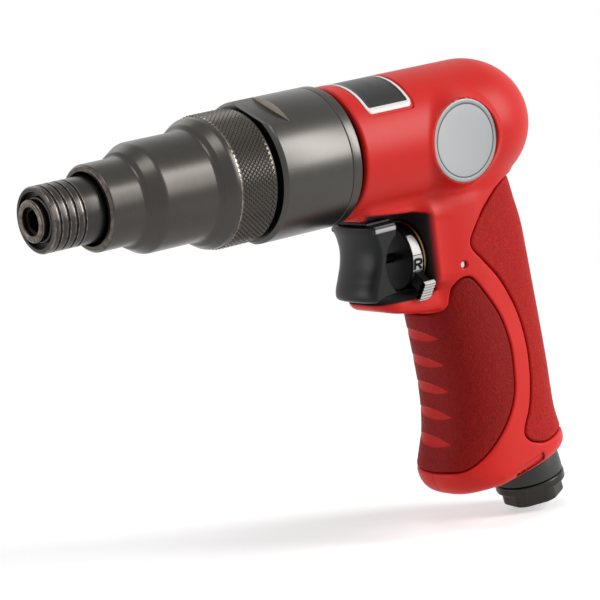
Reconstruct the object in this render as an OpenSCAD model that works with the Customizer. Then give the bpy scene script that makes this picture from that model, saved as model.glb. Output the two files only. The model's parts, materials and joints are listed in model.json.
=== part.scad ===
// Pistol-grip pneumatic screwdriver with a quick-change bit chuck, an adjustable ball clutch,
// one planetary stage and a vane motor. Stations run back from the mouth of the bit socket.

/* [Bit chuck] */
// Width of the hex bit socket across its flats
hex_af = 6.35; // [6.2:0.05:6.6]
// Depth of the bit socket from the tip of the spindle
socket_depth = 18; // [14:0.5:24]
// Radius of the round mouth ahead of the hex
mouth_r = 4.06; // [3.9:0.02:4.4]
// Depth of the round mouth
mouth_depth = 2; // [1.5:0.25:3]
// Radius of the spindle tube that the sleeve slides on
tube_r = 6.1; // [5.8:0.1:6.6]
// Radius of the chuck sleeve
sleeve_r = 9.55; // [9.1:0.05:10]
// Station of the front of the chuck sleeve
sleeve_front = 1.8; // [1.4:0.2:2.4]
// Length of the chuck sleeve
sleeve_len = 20.2; // [18:0.2:22]
// Distance the sleeve is drawn back to free a bit
sleeve_travel = 4.2; // [3.6:0.1:4.6]
// Number of finger grooves round the sleeve
groove_count = 4; // [2:1:5]
// Distance from one finger groove to the next
groove_pitch = 2.7; // [2.2:0.1:3.2]
// Radius of the ball that holds the bit
bit_ball_r = 1.6; // [1.4:0.05:1.7]

/* [Clutch nose] */
// Station of the mouth of the nose housing
nose_start = 19; // [17:0.5:21]
// Radius of the slim front of the nose housing
nose_r = 12.57; // [12.2:0.1:13.2]
// Radius of the bore at the front of the nose housing
nose_bore_r = 10.67; // [10.4:0.05:11]
// Length of the slim front before its shoulder
nose_tube_len = 12; // [9:0.5:13]
// Radius of the middle step of the nose housing
step_r = 16.07; // [15.5:0.1:16.6]
// Station of the front of the knurled band
knurl_start = 58.7; // [57:0.2:60]
// Wall of the knurled band outside the socket of the gear case
knurl_wall = 3.21; // [2.5:0.05:3.9]
// Length of the knurled band
knurl_len = 13.1; // [12:0.1:14]
// Radius of the spindle journal that runs in the nose bush
journal_r = 7.5; // [7.3:0.05:7.7]
// Length of the nose bush
bush_len = 14; // [11:0.5:15]
// Radius of the clutch balls
clutch_ball_r = 2.4; // [2:0.1:2.6]
// Number of clutch balls
clutch_balls_n = 3; // [2:1:6]
// Distance the driving cam backs off when the clutch slips
clutch_travel = 1.8; // [1:0.1:2]

/* [Gear case] */
// Station of the front of the gear case
case_start = 73.55; // [73:0.1:74]
// Wall of the gear case around the liner
spigot_wall = 1.7; // [1.4:0.05:2]
// Wall of the clamp ring outside the spigot of the gear case
clamp_wall = 2.8; // [2.2:0.05:3.8]
// Length of the gear case without its clamp ring
case_len = 25; // [24.6:0.1:25.2]
// Length of the clamp ring behind the gear case
clamp_len = 3.5; // [2.5:0.1:3.6]
// Distance across the two wrench flats
flat_af = 38; // [37:0.2:40]
// Length of the wrench flats
flat_len = 8.2; // [6:0.2:9]
// Tooth size of the gears, pitch diameter over tooth count
gear_module = 0.8; // [0.76:0.01:0.82]
// Teeth of the sun pinion and of each planet
planet_teeth = 12; // [12]
// Teeth of the ring gear
ring_teeth = 36; // [36]
// Wall of the ring gear behind its teeth
ring_wall = 1.26; // [1:0.02:1.6]
// Width of the planet gears
planet_width = 8; // [6:0.5:8.4]

/* [Motor] */
// Thinnest wall of the motor cylinder
cylinder_wall = 2.6; // [2.4:0.05:3]
// Length of the rotor body
rotor_len = 35.2; // [30:0.2:37]
// Number of vanes
vane_count = 5; // [4:1:6]
// Offset of the cylinder bore from the rotor axis
bore_offset = 1.3; // [1:0.05:1.4]

/* [Housing] */
// Station of the front of the red housing
housing_start = 104.3; // [104:0.1:104.8]
// Wall of the barrel of the housing around the motor
barrel_wall = 3.6; // [3.2:0.1:4.4]
// Length of the straight barrel
barrel_len = 53.9; // [50:0.5:56]
// Length of the rounded back of the barrel
dome_len = 21.5; // [19:0.5:24]
// Height of the handle below the barrel axis at its toe
handle_drop = 112; // [106:1:116]
// Depth of the handle from front to back under the barrel
handle_depth = 40; // [38:0.5:42]
// Half of the width of the handle at its base
handle_half = 16.9; // [16.4:0.1:17.6]
// Thickness of the moulded grip panels
panel_t = 2.2; // [1.6:0.1:2.6]
// Gap between a grip panel and the housing
panel_gap = 0.35; // [0.2:0.05:0.6]

/* [Trigger and valve] */
// Drop of the valve axis below the barrel axis
valve_drop = 35; // [34:0.25:36]
// Distance the trigger travels
trigger_travel = 4.3; // [3:0.1:4.4]
// Half of the width of the trigger
trigger_half = 9.8; // [8.5:0.1:10]
// Radius of the reverse knob
knob_r = 10.3; // [9.5:0.1:10.5]
// Thickness of the reverse knob
knob_t = 3.8; // [3:0.1:4]
// Radius of the throttle stem
stem_r = 1.4; // [1.2:0.05:1.6]
// Radius of the cross pin that holds the valve bushing
valve_pin_r = 0.9; // [0.7:0.05:1]

/* [Air inlet] */
// Lean of the air inlet from upright
inlet_tilt = 10; // [8:0.5:12]
// Radius of the inlet thread
inlet_thread_r = 5.75; // [5.5:0.05:5.9]
// Length of the inlet thread
inlet_thread_len = 13; // [10:0.5:15]
// Width of the inlet hexagon across its flats
inlet_af = 18; // [17:0.5:20]
// Radius of the exhaust collar
collar_r = 10.9; // [10.6:0.1:11.2]
// Height of the exhaust collar
collar_h = 7.5; // [6.5:0.25:8.5]

/* [Hidden] */
$fn = 64;

// Clearances and the overrun of every cut
slip = 0.03;
seat = 0.02;
end_gap = 0.1;
over = 0.5;
small_chamfer = 0.5;

// Bit chuck
ring_wire = 0.6;
ring_groove_r = tube_r - ring_wire;
ring_station = 3.1;
lip_r = 8.1;
lip_depth = 2.1;
land_len = 6.1;
sleeve_bore_r = 7.9;
sleeve_end = sleeve_front + sleeve_len;
land_end = sleeve_front + lip_depth + land_len;
groove_first = 2.3;
groove_w = 0.7;
groove_depth = 0.45;
bit_ball_station = 6;
bit_ball_offset = tube_r - bit_ball_r - 0.5 * slip;
journal_lap = 1.4;
journal_start = sleeve_end - journal_lap;
sleeve_wire_r = 0.5;
sleeve_coil_r = sleeve_bore_r - sleeve_wire_r - 1.5 * end_gap;
sleeve_coil_turns = 5;

// Nose housing
nose_lip = 0.9;
shoulder_len = 5.5;
shoulder_foot = 0.6;
step_start = nose_start + nose_tube_len;
band_shoulder_len = 4.5;
band_edge = 0.4;
knurl_end = knurl_start + knurl_len;
bush_set = 10;
bush_start = nose_start + bush_set;
bush_end = bush_start + bush_len;
bush_flange_r = 12.8;
bush_flange_t = 1.2;
chamber_r = 13.2;
chamber_lap = 1.3;
chamber_end = knurl_start + chamber_lap;

// Thrust washer, cams and clutch balls
washer_start = bush_end + bush_flange_t + end_gap;
washer_t = 1.2;
washer_r = 12.2;
flange_start = washer_start + washer_t + end_gap;
flange_t = 4.6;
flange_r = 12.6;
flange_end = flange_start + flange_t;
cam_gap = 1.4;
cam_start = flange_end + cam_gap;
cam_t = 4.2;
cam_r = 12.4;
cam_end = cam_start + cam_t;
ball_ring_r = 9.3;
ball_station = flange_end + cam_gap / 2;
pocket_clear = 0.06;
pilot_r = 4;
pilot_len = 10;
key_w = 2.4;
key_h = 1.2;

// Shells, from the teeth of the ring gear outwards
tooth_top_share = 0.8;
tooth_root_share = 1.05;
liner_r = gear_module * (ring_teeth / 2 + tooth_root_share) + ring_wall;
spigot_r = liner_r + spigot_wall;
case_r = spigot_r + clamp_wall;
barrel_r = liner_r + barrel_wall;
boss_r = liner_r - end_gap;
socket_r = boss_r + end_gap;
knurl_r = socket_r + knurl_wall;

// Gear case
boss_lap = 3.3;
boss_start = knurl_start + boss_lap;
boss_bore_r = 11.2;
case_end = case_start + case_len;
clamp_start = case_end + end_gap;
clamp_end = clamp_start + clamp_len;
spigot_lap = 6.5;
spigot_end = housing_start + spigot_lap;
case_round = 1.1;
flat_angle = 68;

// Dowel that lines up the motor cylinder and its end plates
dowel_r = 1;
dowel_edge = 1.6;
dowel_ring_r = liner_r - dowel_edge;
dowel_overlap = 3;

// Ball bearings, each as its bore, its outer radius and its width
bearing_wall = 1.9;
gear_bearing_bore = 6;
gear_bearing_w = 5;
gear_bearing = [gear_bearing_bore, dowel_ring_r - dowel_r - bearing_wall, gear_bearing_w];
rear_bearing_bore = 4;
rear_bearing_r = 9.5;
rear_bearing_w = 6;
rear_bearing = [rear_bearing_bore, rear_bearing_r, rear_bearing_w];
race_share = 0.3;
ball_share = 0.225;
bearing_balls = 9;
bearing_shelf = 1.05;
carrier_bearing_start = case_start + bearing_shelf;

// Planetary stage
pressure_angle = 25;
tooth_top = tooth_top_share * gear_module;
tooth_root = tooth_root_share * gear_module;
backlash = 0.06;
sun_pitch_r = gear_module * planet_teeth / 2;
ring_pitch_r = gear_module * ring_teeth / 2;
planet_circle_r = 2 * sun_pitch_r;
planet_pin_r = 2;
planets_n = 3;
ring_set = 11.45;
ring_start = case_start + ring_set;
ring_len = 10.5;
plate_room = 0.56;
plate_r = ring_pitch_r - tooth_top - plate_room;
plate_clear_r = plate_r + plate_room;
front_plate_t = 3.5;
plate_set = 0.5;
front_plate_end = ring_start - plate_set;
front_plate_start = front_plate_end - front_plate_t;
planet_start = ring_start + 3 * end_gap;
planet_room = 0.7;
rear_plate_t = 2.5;
rear_plate_start = planet_start + planet_width + planet_room;
rear_plate_end = rear_plate_start + rear_plate_t;
sun_room = 0.86;
sun_clear_r = sun_pitch_r + tooth_top + sun_room;
post_r = 2.4;
post_ring_r = planet_circle_r + post_r / 4;
shaft_r = 5.5;
shaft_set = 0.8;
shaft_start = flange_end + shaft_set;
nut_r = 9.6;
nut_t = 4;
nut_set = 5;
nut_start = case_start - nut_set;
spring_washer_t = 1;
spring_washer_start = nut_start - spring_washer_t - end_gap;
clutch_coil_r = 8.4;
clutch_wire_r = 1.15;
clutch_coil_turns = 3;

// Motor
rotor_r = liner_r - cylinder_wall - bore_offset - 2 * end_gap;
rim_wall = 1.9;
front_rim_start = ring_start + ring_len + 2 * end_gap;
front_rim_r = liner_r - rim_wall;
rim_len = 3.3;
front_bearing_start = front_rim_start + rim_len;
front_plate_lip = front_bearing_start + gear_bearing[2] + end_gap;
plate_lip_t = 1;
plate_lip_r = 7.2;
cylinder_start = front_plate_lip + plate_lip_t + end_gap;
rotor_start = cylinder_start + 2 * end_gap;
rotor_end = rotor_start + rotor_len;
cylinder_end = rotor_end + 2 * end_gap;
cylinder_bore_r = rotor_r + bore_offset + 2 * end_gap;
rear_plate_front = cylinder_end + end_gap;
rear_bearing_start = rear_plate_front + plate_lip_t;
rear_plate_back = rear_bearing_start + rear_bearing[2] + 2 * end_gap;
rear_lip_r = 5;
motor_room = 0.8;
motor_bore_end = rear_plate_back + motor_room;
pinion_end = front_bearing_start - 4 * end_gap;
slot_depth = 6;
vane_t = 1.6;

// Housing and handle, from the front of the trigger pocket wall
wall_set = 26.2;
wall_front = housing_start + wall_set;
dome_steps = 14;
handle_power = 2.6;
handle_points = 28;
mouth_round = 0.8;
pocket_set = 0.6;
pocket_back = wall_front + pocket_set;
pocket_half = 12.6;
saddle_t = 0.9;
pocket_top = barrel_r + saddle_t;
shelf_top = 46.1;
shelf_half = 10.5;
shelf_t = 5.7;
shelf_set = 7.4;
shelf_front = housing_start + shelf_set;
saddle_half = 11;
saddle_set = 4;
saddle_start = housing_start + saddle_set;
saddle_r = 3;

// Underside of the trigger shelf: shares of its length ahead of the handle and of its thickness
shelf_shares = [[1.32, 1], [0.947, 1], [0.628, 0.8], [0.213, 0.6], [0, 0.4]];

// Sections of the handle: front and back in shares of the handle depth, then the heights of the
// front and back points in shares of the drop, then the half width in shares of the base's
handle_shares = [
    [0.000, 0.920, 0.100, 0.100, 0.830],
    [0.000, 0.972, 0.160, 0.158, 0.845],
    [0.000, 1.008, 0.214, 0.212, 0.860],
    [0.003, 1.050, 0.286, 0.277, 0.878],
    [0.010, 1.075, 0.366, 0.357, 0.888],
    [0.038, 1.095, 0.455, 0.446, 0.900],
    [0.068, 1.112, 0.536, 0.527, 0.917],
    [0.098, 1.125, 0.616, 0.607, 0.938],
    [0.118, 1.138, 0.696, 0.688, 0.957],
    [0.118, 1.146, 0.768, 0.754, 0.970],
    [0.093, 1.154, 0.830, 0.808, 0.982],
    [0.043, 1.178, 0.880, 0.848, 0.994],
    [0.000, 1.215, 0.920, 0.879, 1.000],
    [-0.008, 1.225, 0.951, 0.897, 0.994],
    [0.008, 1.220, 0.977, 0.911, 0.970],
    [0.055, 1.182, 0.999, 0.929, 0.900]];

// Side outlines of the two grip panels in the same shares of the handle depth and drop
front_panel_shares = [
    [-0.300, 0.466], [-0.070, 0.472], [0.030, 0.482], [0.080, 0.476], [0.112, 0.462],
    [0.140, 0.440], [0.170, 0.412], [0.220, 0.393], [0.285, 0.388], [0.345, 0.399],
    [0.446, 0.449], [0.541, 0.508], [0.590, 0.564],
    [0.610, 0.627], [0.592, 0.716], [0.543, 0.770], [0.443, 0.823],
    [0.293, 0.877], [0.143, 0.910], [0.030, 0.920], [-0.050, 0.916], [-0.300, 0.905]];
rear_panel_shares = [
    [1.380, 0.138], [0.920, 0.143], [0.760, 0.158], [0.640, 0.181], [0.500, 0.226],
    [0.398, 0.270], [0.354, 0.299], [0.366, 0.322], [0.443, 0.353], [0.568, 0.404],
    [0.672, 0.468], [0.748, 0.540], [0.778, 0.627], [0.762, 0.716], [0.712, 0.787],
    [0.655, 0.824], [0.634, 0.848], [0.664, 0.868], [0.730, 0.882], [0.870, 0.889],
    [1.120, 0.872], [1.380, 0.862]];
panel_steps = 2;

// Medallion and label
badge_r = 12.8;
badge_set = 38.5;
badge_station = housing_start + badge_set;
badge_angle = 7;
badge_t = 0.45;
badge_proud = 0.2;
label_set = 5.8;
label_start = housing_start + label_set;
label_len = 17;
label_half = 16.2;
label_corner = 1.6;
label_margin = 0.7;

// Trigger, in heights below the barrel axis
trigger_room = 0.5;
trigger_gap = 1.5;
trigger_set = 3.3;
trigger_len = 12.8;
trigger_top = pocket_top + trigger_gap;
trigger_bottom = shelf_top - trigger_room;
trigger_front = housing_start + trigger_set;
trigger_back = trigger_front + trigger_len;
trigger_wall = 1.8;
trigger_points = 9;
nose_wrap = 75;
hollow_set = 7;
hollow_start = trigger_front + hollow_set;
floor_t = 2.9;
guide_half = 7.5;
guide_gap = 0.4;
guide_set = 3.6;
boss_round_r = 3.2;
boss_set = 5.4;
boss_len = 5.6;
boss_front = trigger_front + boss_set;
boss_back = boss_front + boss_len;
stem_set = 0.7;
stem_front = boss_front + stem_set;
stem_pin_r = 0.8;
stem_pin_set = 2;
stem_pin_station = boss_back - stem_pin_set;
thumb_r = 11;
thumb_set = 5.8;
thumb_station = trigger_back + thumb_set;
thumb_lower = 1;
// Height in shares of the trigger's, then how far the front and the ridge lie back of its front
// station in shares of its length
trigger_shares = [
    [0.00, 0.150, 0.360], [0.03, 0.160, 0.350], [0.15, 0.230, 0.400], [0.30, 0.290, 0.450],
    [0.40, 0.300, 0.470], [0.55, 0.220, 0.420], [0.70, 0.110, 0.330], [0.85, 0.025, 0.250],
    [0.93, 0.035, 0.250], [0.98, 0.110, 0.300], [1.00, 0.200, 0.360]];

// Valve train
knob_gap = 0.3;
knob_front = trigger_back + trigger_travel + knob_gap;
knob_end = knob_front + knob_t;
tab_angle = 213;
tab_reach = 17.2;
tab_w = 7;
tab_len = 4.7;
tab_t = 3;
tab_ribs = 5;
rib_depth = 0.35;
rib_share = 0.5;
valve_bush_gap = 0.7;
valve_bush_start = knob_end + valve_bush_gap;
valve_bush_set = 8.9;
valve_bush_end = wall_front + valve_bush_set;
valve_bush_r = 10.6;
tail_r = 6;
tail_len = 7;
tail_end = valve_bush_end + tail_len;
tail_bore_r = 3.4;
chamber_set = 29.5;
chamber_back = wall_front + chamber_set;
reverse_r = 7.5;
reverse_step = 0.9;
reverse_end = valve_bush_end - reverse_step;
reverse_bore_r = 3;
port_r = 1.35;
port_set = 7.1;
port_station = wall_front + port_set;
valve_pin_set = 1.9;
valve_pin_station = valve_bush_end + valve_pin_set;
valve_pin_lower = 4.6;
valve_pin_drop = valve_drop + valve_pin_lower;
pin_half = 13.7;
seat_t = 1.2;
seat_bore_r = 2.4;
throttle_r = 4.6;
throttle_t = 2.5;
throttle_start = tail_end + seat_t + 2 * end_gap;
valve_coil_r = 3.4;
valve_wire_r = 0.35;
valve_coil_turns = 6;
seal_wire = 0.55;
air_port_r = 1.6;
air_port_gap = 5.5;

// Air inlet, along its own axis
inlet_share = 0.9425;
inlet_station = wall_front + handle_depth * inlet_share;
inlet_rise = 6.2;
inlet_drop = handle_drop - inlet_rise;
spigot_inlet_r = 7.6;
spigot_inlet_h = 12;
inlet_flange_r = 11.1;
inlet_flange_h = 2.9;
inlet_hex_h = 4.4;
inlet_hex_turn = 25;
inlet_corner = 0.6;
inlet_bore_r = 4.2;
passage_len = 72;
collar_wall = 1.4;
collar_taper = 0.4;
collar_slots = 5;
collar_slot_turn = -7;
collar_slot_step = 30;
slot_w = 1.6;
slot_h = 2.6;
screen_r = 5;
screen_t = 0.5;
screen_hole_r = 0.5;
screen_pitch = 1.6;

right_angle = 90;
full_turn = 360;
ring_facets = 24;
ball_facets = 32;

// A profile of [station, radius] points turned about the barrel axis
module turned(profile) {
    rotate([0, right_angle, 0]) rotate_extrude() polygon([for (p = profile) [p[1], p[0]]]);
}

// A ring or a disc about the barrel axis
module ring(outer, inner, start, end) {
    turned([[start, inner], [start, outer], [end, outer], [end, inner]]);
}

// A round bar along the barrel axis
module bar(r, start, end) {
    translate([start, 0, 0]) rotate([0, right_angle, 0]) cylinder(r = r, h = end - start);
}

// A wire ring about the barrel axis
module wire_ring(mean_r, wire, station) {
    translate([station, 0, 0]) rotate([0, right_angle, 0])
        rotate_extrude() translate([mean_r, 0]) circle(r = wire, $fn = ring_facets);
}

// Points of a shoulder that rises from one radius to the next by a hollow foot and a round brow
function shoulder(start, low, high, len, steps = 6) =
    let (foot = shoulder_foot, brow = low + foot) concat(
        [for (a = [0, right_angle / 2]) [start + foot * (sin(a) - 1), brow - foot * cos(a)]],
        [for (i = [0:steps]) let (a = right_angle * i / steps)
            [start + len * (1 - cos(a)), brow + (high - brow) * sin(a)]]);

// A coil spring about the barrel axis as one unbroken tube
module coil(mean_r, wire, start, end, turns) {
    sides = 6;
    rings = 8 * turns;
    span = end - start - 2 * wire;
    points = [for (k = [0:rings], j = [0:sides - 1])
        let (a = full_turn * turns * k / rings, b = full_turn * j / sides, r = mean_r + wire * cos(b))
        [start + wire + span * k / rings + wire * sin(b), r * cos(a), r * sin(a)]];
    skin = [for (k = [0:rings - 1], j = [0:sides - 1])
        let (n = (j + 1) % sides, p = k * sides, q = p + sides)
        each [[p + j, q + j, q + n], [p + j, q + n, p + n]]];
    first = [for (j = [1:sides - 2]) [0, j, j + 1]];
    last = [for (j = [1:sides - 2]) let (p = rings * sides) [p, p + j + 1, p + j]];
    echo(str("least gap of a coil to itself: ", span / turns - 2 * wire));
    polyhedron(points = points, faces = concat(skin, first, last));
}

// Involute gear outline
function involute(a) = tan(a) - a * PI / 180;
function flank(r, pitch_r, teeth, slack) =
    let (base_r = pitch_r * cos(pressure_angle), seen = acos(min(1, base_r / r)))
    (PI / (2 * teeth) - slack / pitch_r + involute(pressure_angle) - involute(seen)) * 180 / PI;
function gear_outline(teeth, pitch_r, top, root, slack, steps = 4) =
    let (low = pitch_r - root, high = pitch_r + top,
        foot = max(low, pitch_r * cos(pressure_angle)),
        radii = concat(foot > low ? [low] : [], [for (i = [0:steps]) foot + (high - foot) * i / steps]))
    [for (t = [0:teeth - 1], side = [-1, 1], i = [0:len(radii) - 1])
        let (r = radii[side < 0 ? i : len(radii) - 1 - i],
            a = full_turn * t / teeth + side * flank(max(r, foot), pitch_r, teeth, slack))
        [r * cos(a), r * sin(a)]];

// A prism of an outline along the barrel axis, with the outline's x axis pointing up
module along_barrel(start, end) {
    translate([start, 0, 0]) rotate([right_angle, 0, right_angle]) rotate([0, 0, right_angle])
        linear_extrude(end - start) children();
}

// A ball bearing about the barrel axis: [bore radius, outer radius, width]
module ball_bearing(size, start) {
    wall = size[1] - size[0];
    mid = (size[0] + size[1]) / 2;
    ball = wall * ball_share;
    groove = ball + slip;
    inner_r = size[0] + wall * race_share;
    outer_r = size[1] - wall * race_share;
    centre = start + size[2] / 2;
    difference() {
        union() {
            ring(size[1], outer_r, start, start + size[2]);
            ring(inner_r, size[0], start, start + size[2]);
        }
        wire_ring(mid, groove, centre);
    }
    for (i = [0:bearing_balls - 1])
        rotate([full_turn * i / bearing_balls, 0, 0]) translate([centre, 0, mid])
            sphere(r = ball, $fn = ring_facets);
}

// Superellipse section of the handle, drawn in by an inset all round
function section_point(row, t, inset) =
    let (c = cos(t), s = sin(t), e = 2 / handle_power,
        front = [wall_front + row[0] * handle_depth, -row[2] * handle_drop],
        back = [wall_front + row[1] * handle_depth, -row[3] * handle_drop],
        half = (back - front) / 2, mid = (front + back) / 2,
        keep = 1 - inset / norm(half), side = row[4] * handle_half - inset,
        u = sign(c) * pow(abs(c), e), v = sign(s) * pow(abs(s), e))
    [mid[0] + half[0] * keep * u, side * v, mid[1] + half[1] * keep * u];

// The handle as a loft through its sections
module handle_form(inset = 0) {
    n = handle_points;
    rows = len(handle_shares);
    points = [for (row = handle_shares, k = [0:n - 1]) section_point(row, full_turn * k / n, inset)];
    skin = [for (i = [0:rows - 2], k = [0:n - 1])
        let (m = (k + 1) % n, p = i * n, q = p + n)
        each [[p + k, p + m, q + m], [p + k, q + m, q + k]]];
    top = [[for (k = [0:n - 1]) n - 1 - k]];
    bottom = [[for (k = [0:n - 1]) (rows - 1) * n + k]];
    polyhedron(points = points, faces = concat(skin, top, bottom));
}

// A smooth closed outline through a table of places given in shares of the handle
function handle_place(share) = [wall_front + share[0] * handle_depth, -share[1] * handle_drop];
function smooth_place(shares, i, t) =
    let (n = len(shares), a = shares[max(0, i - 1)], b = shares[i],
        c = shares[min(n - 1, i + 1)], d = shares[min(n - 1, i + 2)])
    handle_place(0.5 * (2 * b + (c - a) * t + (2 * a - 5 * b + 4 * c - d) * t * t
        + (3 * b - a - 3 * c + d) * t * t * t));
function smooth_outline(shares) = concat(
    [for (i = [0:len(shares) - 2], k = [0:panel_steps - 1]) smooth_place(shares, i, k / panel_steps)],
    [handle_place(shares[len(shares) - 1])]);

module panel_prism(shares, grow = 0) {
    width = 2 * handle_half + 2 * barrel_r;
    translate([0, width / 2, 0]) rotate([right_angle, 0, 0]) linear_extrude(width)
        offset(delta = grow) polygon(smooth_outline(shares));
}

// The frame of the air inlet: its axis leans back as it runs down from the base of the handle
module at_inlet() {
    translate([inlet_station, 0, -inlet_drop]) rotate([0, -inlet_tilt, 0]) children();
}

// The frame of the valve axis
module at_valve() {
    translate([0, 0, -valve_drop]) children();
}

// A rounded rectangle about the middle of the label, seen from above
module label_outline(margin) {
    long = label_len + 2 * margin;
    wide = 2 * label_half + 2 * margin;
    translate([label_start + label_len / 2, 0]) {
        square([long - 2 * label_corner, wide], center = true);
        square([long, wide - 2 * label_corner], center = true);
        for (i = [-1, 1], j = [-1, 1])
            translate([i * (long / 2 - label_corner), j * (wide / 2 - label_corner)])
                circle(r = label_corner);
    }
}

module housing() {
    color("crimson") difference() {
        union() {
            barrel_form();
            difference() {
                union() {
                    handle_form();
                    trigger_shelf();
                }
                difference() {
                    union() {
                        panel_prism(front_panel_shares, panel_gap);
                        panel_prism(rear_panel_shares, panel_gap);
                    }
                    handle_form(panel_t);
                }
            }
            saddle();
        }
        motor_cavity();
        valve_cavity();
        inlet_cavity();
        badge_recess();
        label_recess();
    }
}

// The barrel with its rounded back, drawn out by a gap all round
module barrel_form(grow = 0) {
    r = barrel_r + grow;
    dome_start = housing_start + barrel_len;
    turned(concat(
        [[housing_start, 0], [housing_start, r - mouth_round], [housing_start + mouth_round, r],
         [dome_start, r]],
        [for (i = [1:dome_steps]) let (a = right_angle * i / dome_steps)
            [dome_start + (dome_len + grow) * sin(a), r * cos(a)]]));
}

// The lip under the trigger, which runs back into the handle
module trigger_shelf() {
    long = wall_front - shelf_front;
    underside = [for (p = shelf_shares) [shelf_front + long * p[0], -shelf_top - shelf_t * p[1]]];
    intersection() {
        translate([0, shelf_half, 0]) rotate([right_angle, 0, 0]) linear_extrude(2 * shelf_half)
            polygon(concat([[shelf_front, -shelf_top], [underside[0][0], -shelf_top]], underside));
        translate([0, 0, -handle_drop]) linear_extrude(handle_drop) union() {
            translate([shelf_front + shelf_half, 0]) circle(r = shelf_half);
            translate([shelf_front + shelf_half, -shelf_half]) square([2 * long, 2 * shelf_half]);
        }
    }
}

// The flat pad under the barrel that the trigger runs beneath
module saddle() {
    translate([0, 0, -pocket_top]) linear_extrude(pocket_top - barrel_r / 2) union() {
        translate([saddle_start + saddle_r, -saddle_half])
            square([wall_front - saddle_start, 2 * saddle_half]);
        translate([saddle_start, -saddle_half + saddle_r])
            square([wall_front - saddle_start, 2 * (saddle_half - saddle_r)]);
        for (j = [-1, 1])
            translate([saddle_start + saddle_r, j * (saddle_half - saddle_r)]) circle(r = saddle_r);
    }
}

module motor_cavity() {
    bar(liner_r + seat, housing_start - over, motor_bore_end);
    bar(spigot_r + seat, housing_start - over, spigot_end + 2 * end_gap);
}

module valve_cavity() {
    at_valve() {
        bar(valve_bush_r + seat, pocket_back - over, valve_bush_end + end_gap);
        bar(tail_r + seat, pocket_back, chamber_back);
    }
    translate([wall_front - handle_depth, -pocket_half, -shelf_top])
        cube([pocket_back - wall_front + handle_depth, 2 * pocket_half, shelf_top - pocket_top]);
    translate([valve_pin_station, handle_half + over, -valve_pin_drop]) rotate([right_angle, 0, 0])
        cylinder(r = valve_pin_r + seat, h = 2 * (handle_half + over));
    for (j = [-1, 1])
        translate([port_station, j * air_port_gap, -valve_drop])
            cylinder(r = air_port_r, h = valve_drop - liner_r / 2);
}

module inlet_cavity() {
    at_inlet() {
        translate([0, 0, -collar_h])
            cylinder(r = spigot_inlet_r + seat, h = collar_h + spigot_inlet_h + 3 * end_gap);
        cylinder(r = inlet_bore_r, h = passage_len);
    }
}

module badge_recess() {
    difference() {
        badge_bar(badge_r + seat + end_gap);
        bar(barrel_r + badge_proud - badge_t - seat, badge_station - 2 * badge_r,
            badge_station + 2 * badge_r);
    }
}

// The round bar that cuts the medallion's outline, square to the near side of the barrel
module badge_bar(r) {
    translate([badge_station, 0, 0]) rotate([right_angle + badge_angle, 0, 0])
        cylinder(r = r, h = 2 * barrel_r);
}

module label_recess() {
    difference() {
        linear_extrude(2 * barrel_r) label_outline(label_margin);
        bar(barrel_r - badge_t - seat, label_start - label_len, label_start + 2 * label_len);
    }
}

// A grip panel: the skin of the handle inside its outline, clear of the barrel
module grip_panel(shares) {
    difference() {
        intersection() {
            handle_form();
            panel_prism(shares);
        }
        handle_form(panel_t - end_gap);
        barrel_form(panel_gap);
    }
}

module front_grip() {
    color("firebrick") grip_panel(front_panel_shares);
}

module rear_grip() {
    color("firebrick") grip_panel(rear_panel_shares);
}

module label_plate() {
    color("dimgray") intersection() {
        ring(barrel_r + seat, barrel_r - badge_t, label_start - over, label_start + label_len + over);
        linear_extrude(2 * barrel_r) label_outline(0);
    }
}

module medallion() {
    color("silver") intersection() {
        ring(barrel_r + badge_proud, barrel_r + badge_proud - badge_t, badge_station - 2 * badge_r,
            badge_station + 2 * badge_r);
        badge_bar(badge_r);
    }
}

module valve_pin() {
    color("silver") translate([valve_pin_station, pin_half, -valve_pin_drop])
        rotate([right_angle, 0, 0]) cylinder(r = valve_pin_r, h = 2 * pin_half);
}

module gear_case() {
    color("gray") difference() {
        union() {
            turned([
                [boss_start, boss_bore_r], [boss_start, boss_r - small_chamfer],
                [boss_start + small_chamfer, boss_r], [case_start, boss_r],
                [case_start, case_r - case_round], [case_start + case_round, case_r - case_round],
                [case_start + case_round, case_r], [case_end, case_r], [case_end, spigot_r],
                [spigot_end, spigot_r], [spigot_end, liner_r + seat], [ring_start, liner_r + seat],
                [ring_start, plate_clear_r],
                [carrier_bearing_start + gear_bearing[2] + end_gap, plate_clear_r],
                [carrier_bearing_start + gear_bearing[2] + end_gap, gear_bearing[1] + seat],
                [carrier_bearing_start, gear_bearing[1] + seat], [carrier_bearing_start, boss_bore_r]]);
            wire_ring(case_r - case_round, case_round, case_start + case_round);
        }
        for (side = [0, 1])
            rotate([180 * side + right_angle - flat_angle, 0, 0])
                translate([case_start - over, -case_r, flat_af / 2])
                    cube([flat_len + over, 2 * case_r, case_r]);
    }
}

module clamp_ring() {
    color("darkgray") turned([
        [clamp_start, spigot_r + seat], [clamp_start, case_r], [clamp_end - small_chamfer, case_r],
        [clamp_end, case_r - small_chamfer], [clamp_end, spigot_r + seat]]);
}

module nose_housing() {
    color("dimgray") turned(concat(
        [[nose_start, nose_bore_r], [nose_start, nose_r - nose_lip], [nose_start + nose_lip, nose_r]],
        shoulder(step_start, nose_r, step_r, shoulder_len),
        shoulder(knurl_start - band_shoulder_len, step_r, knurl_r - 3 * band_edge, band_shoulder_len),
        [[knurl_start, knurl_r - band_edge], [knurl_start + band_edge, knurl_r],
         [knurl_end - band_edge, knurl_r], [knurl_end, knurl_r - band_edge], [knurl_end, socket_r],
         [chamber_end, socket_r], [chamber_end, chamber_r], [bush_end, chamber_r],
         [bush_end, nose_bore_r]]));
}

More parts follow.
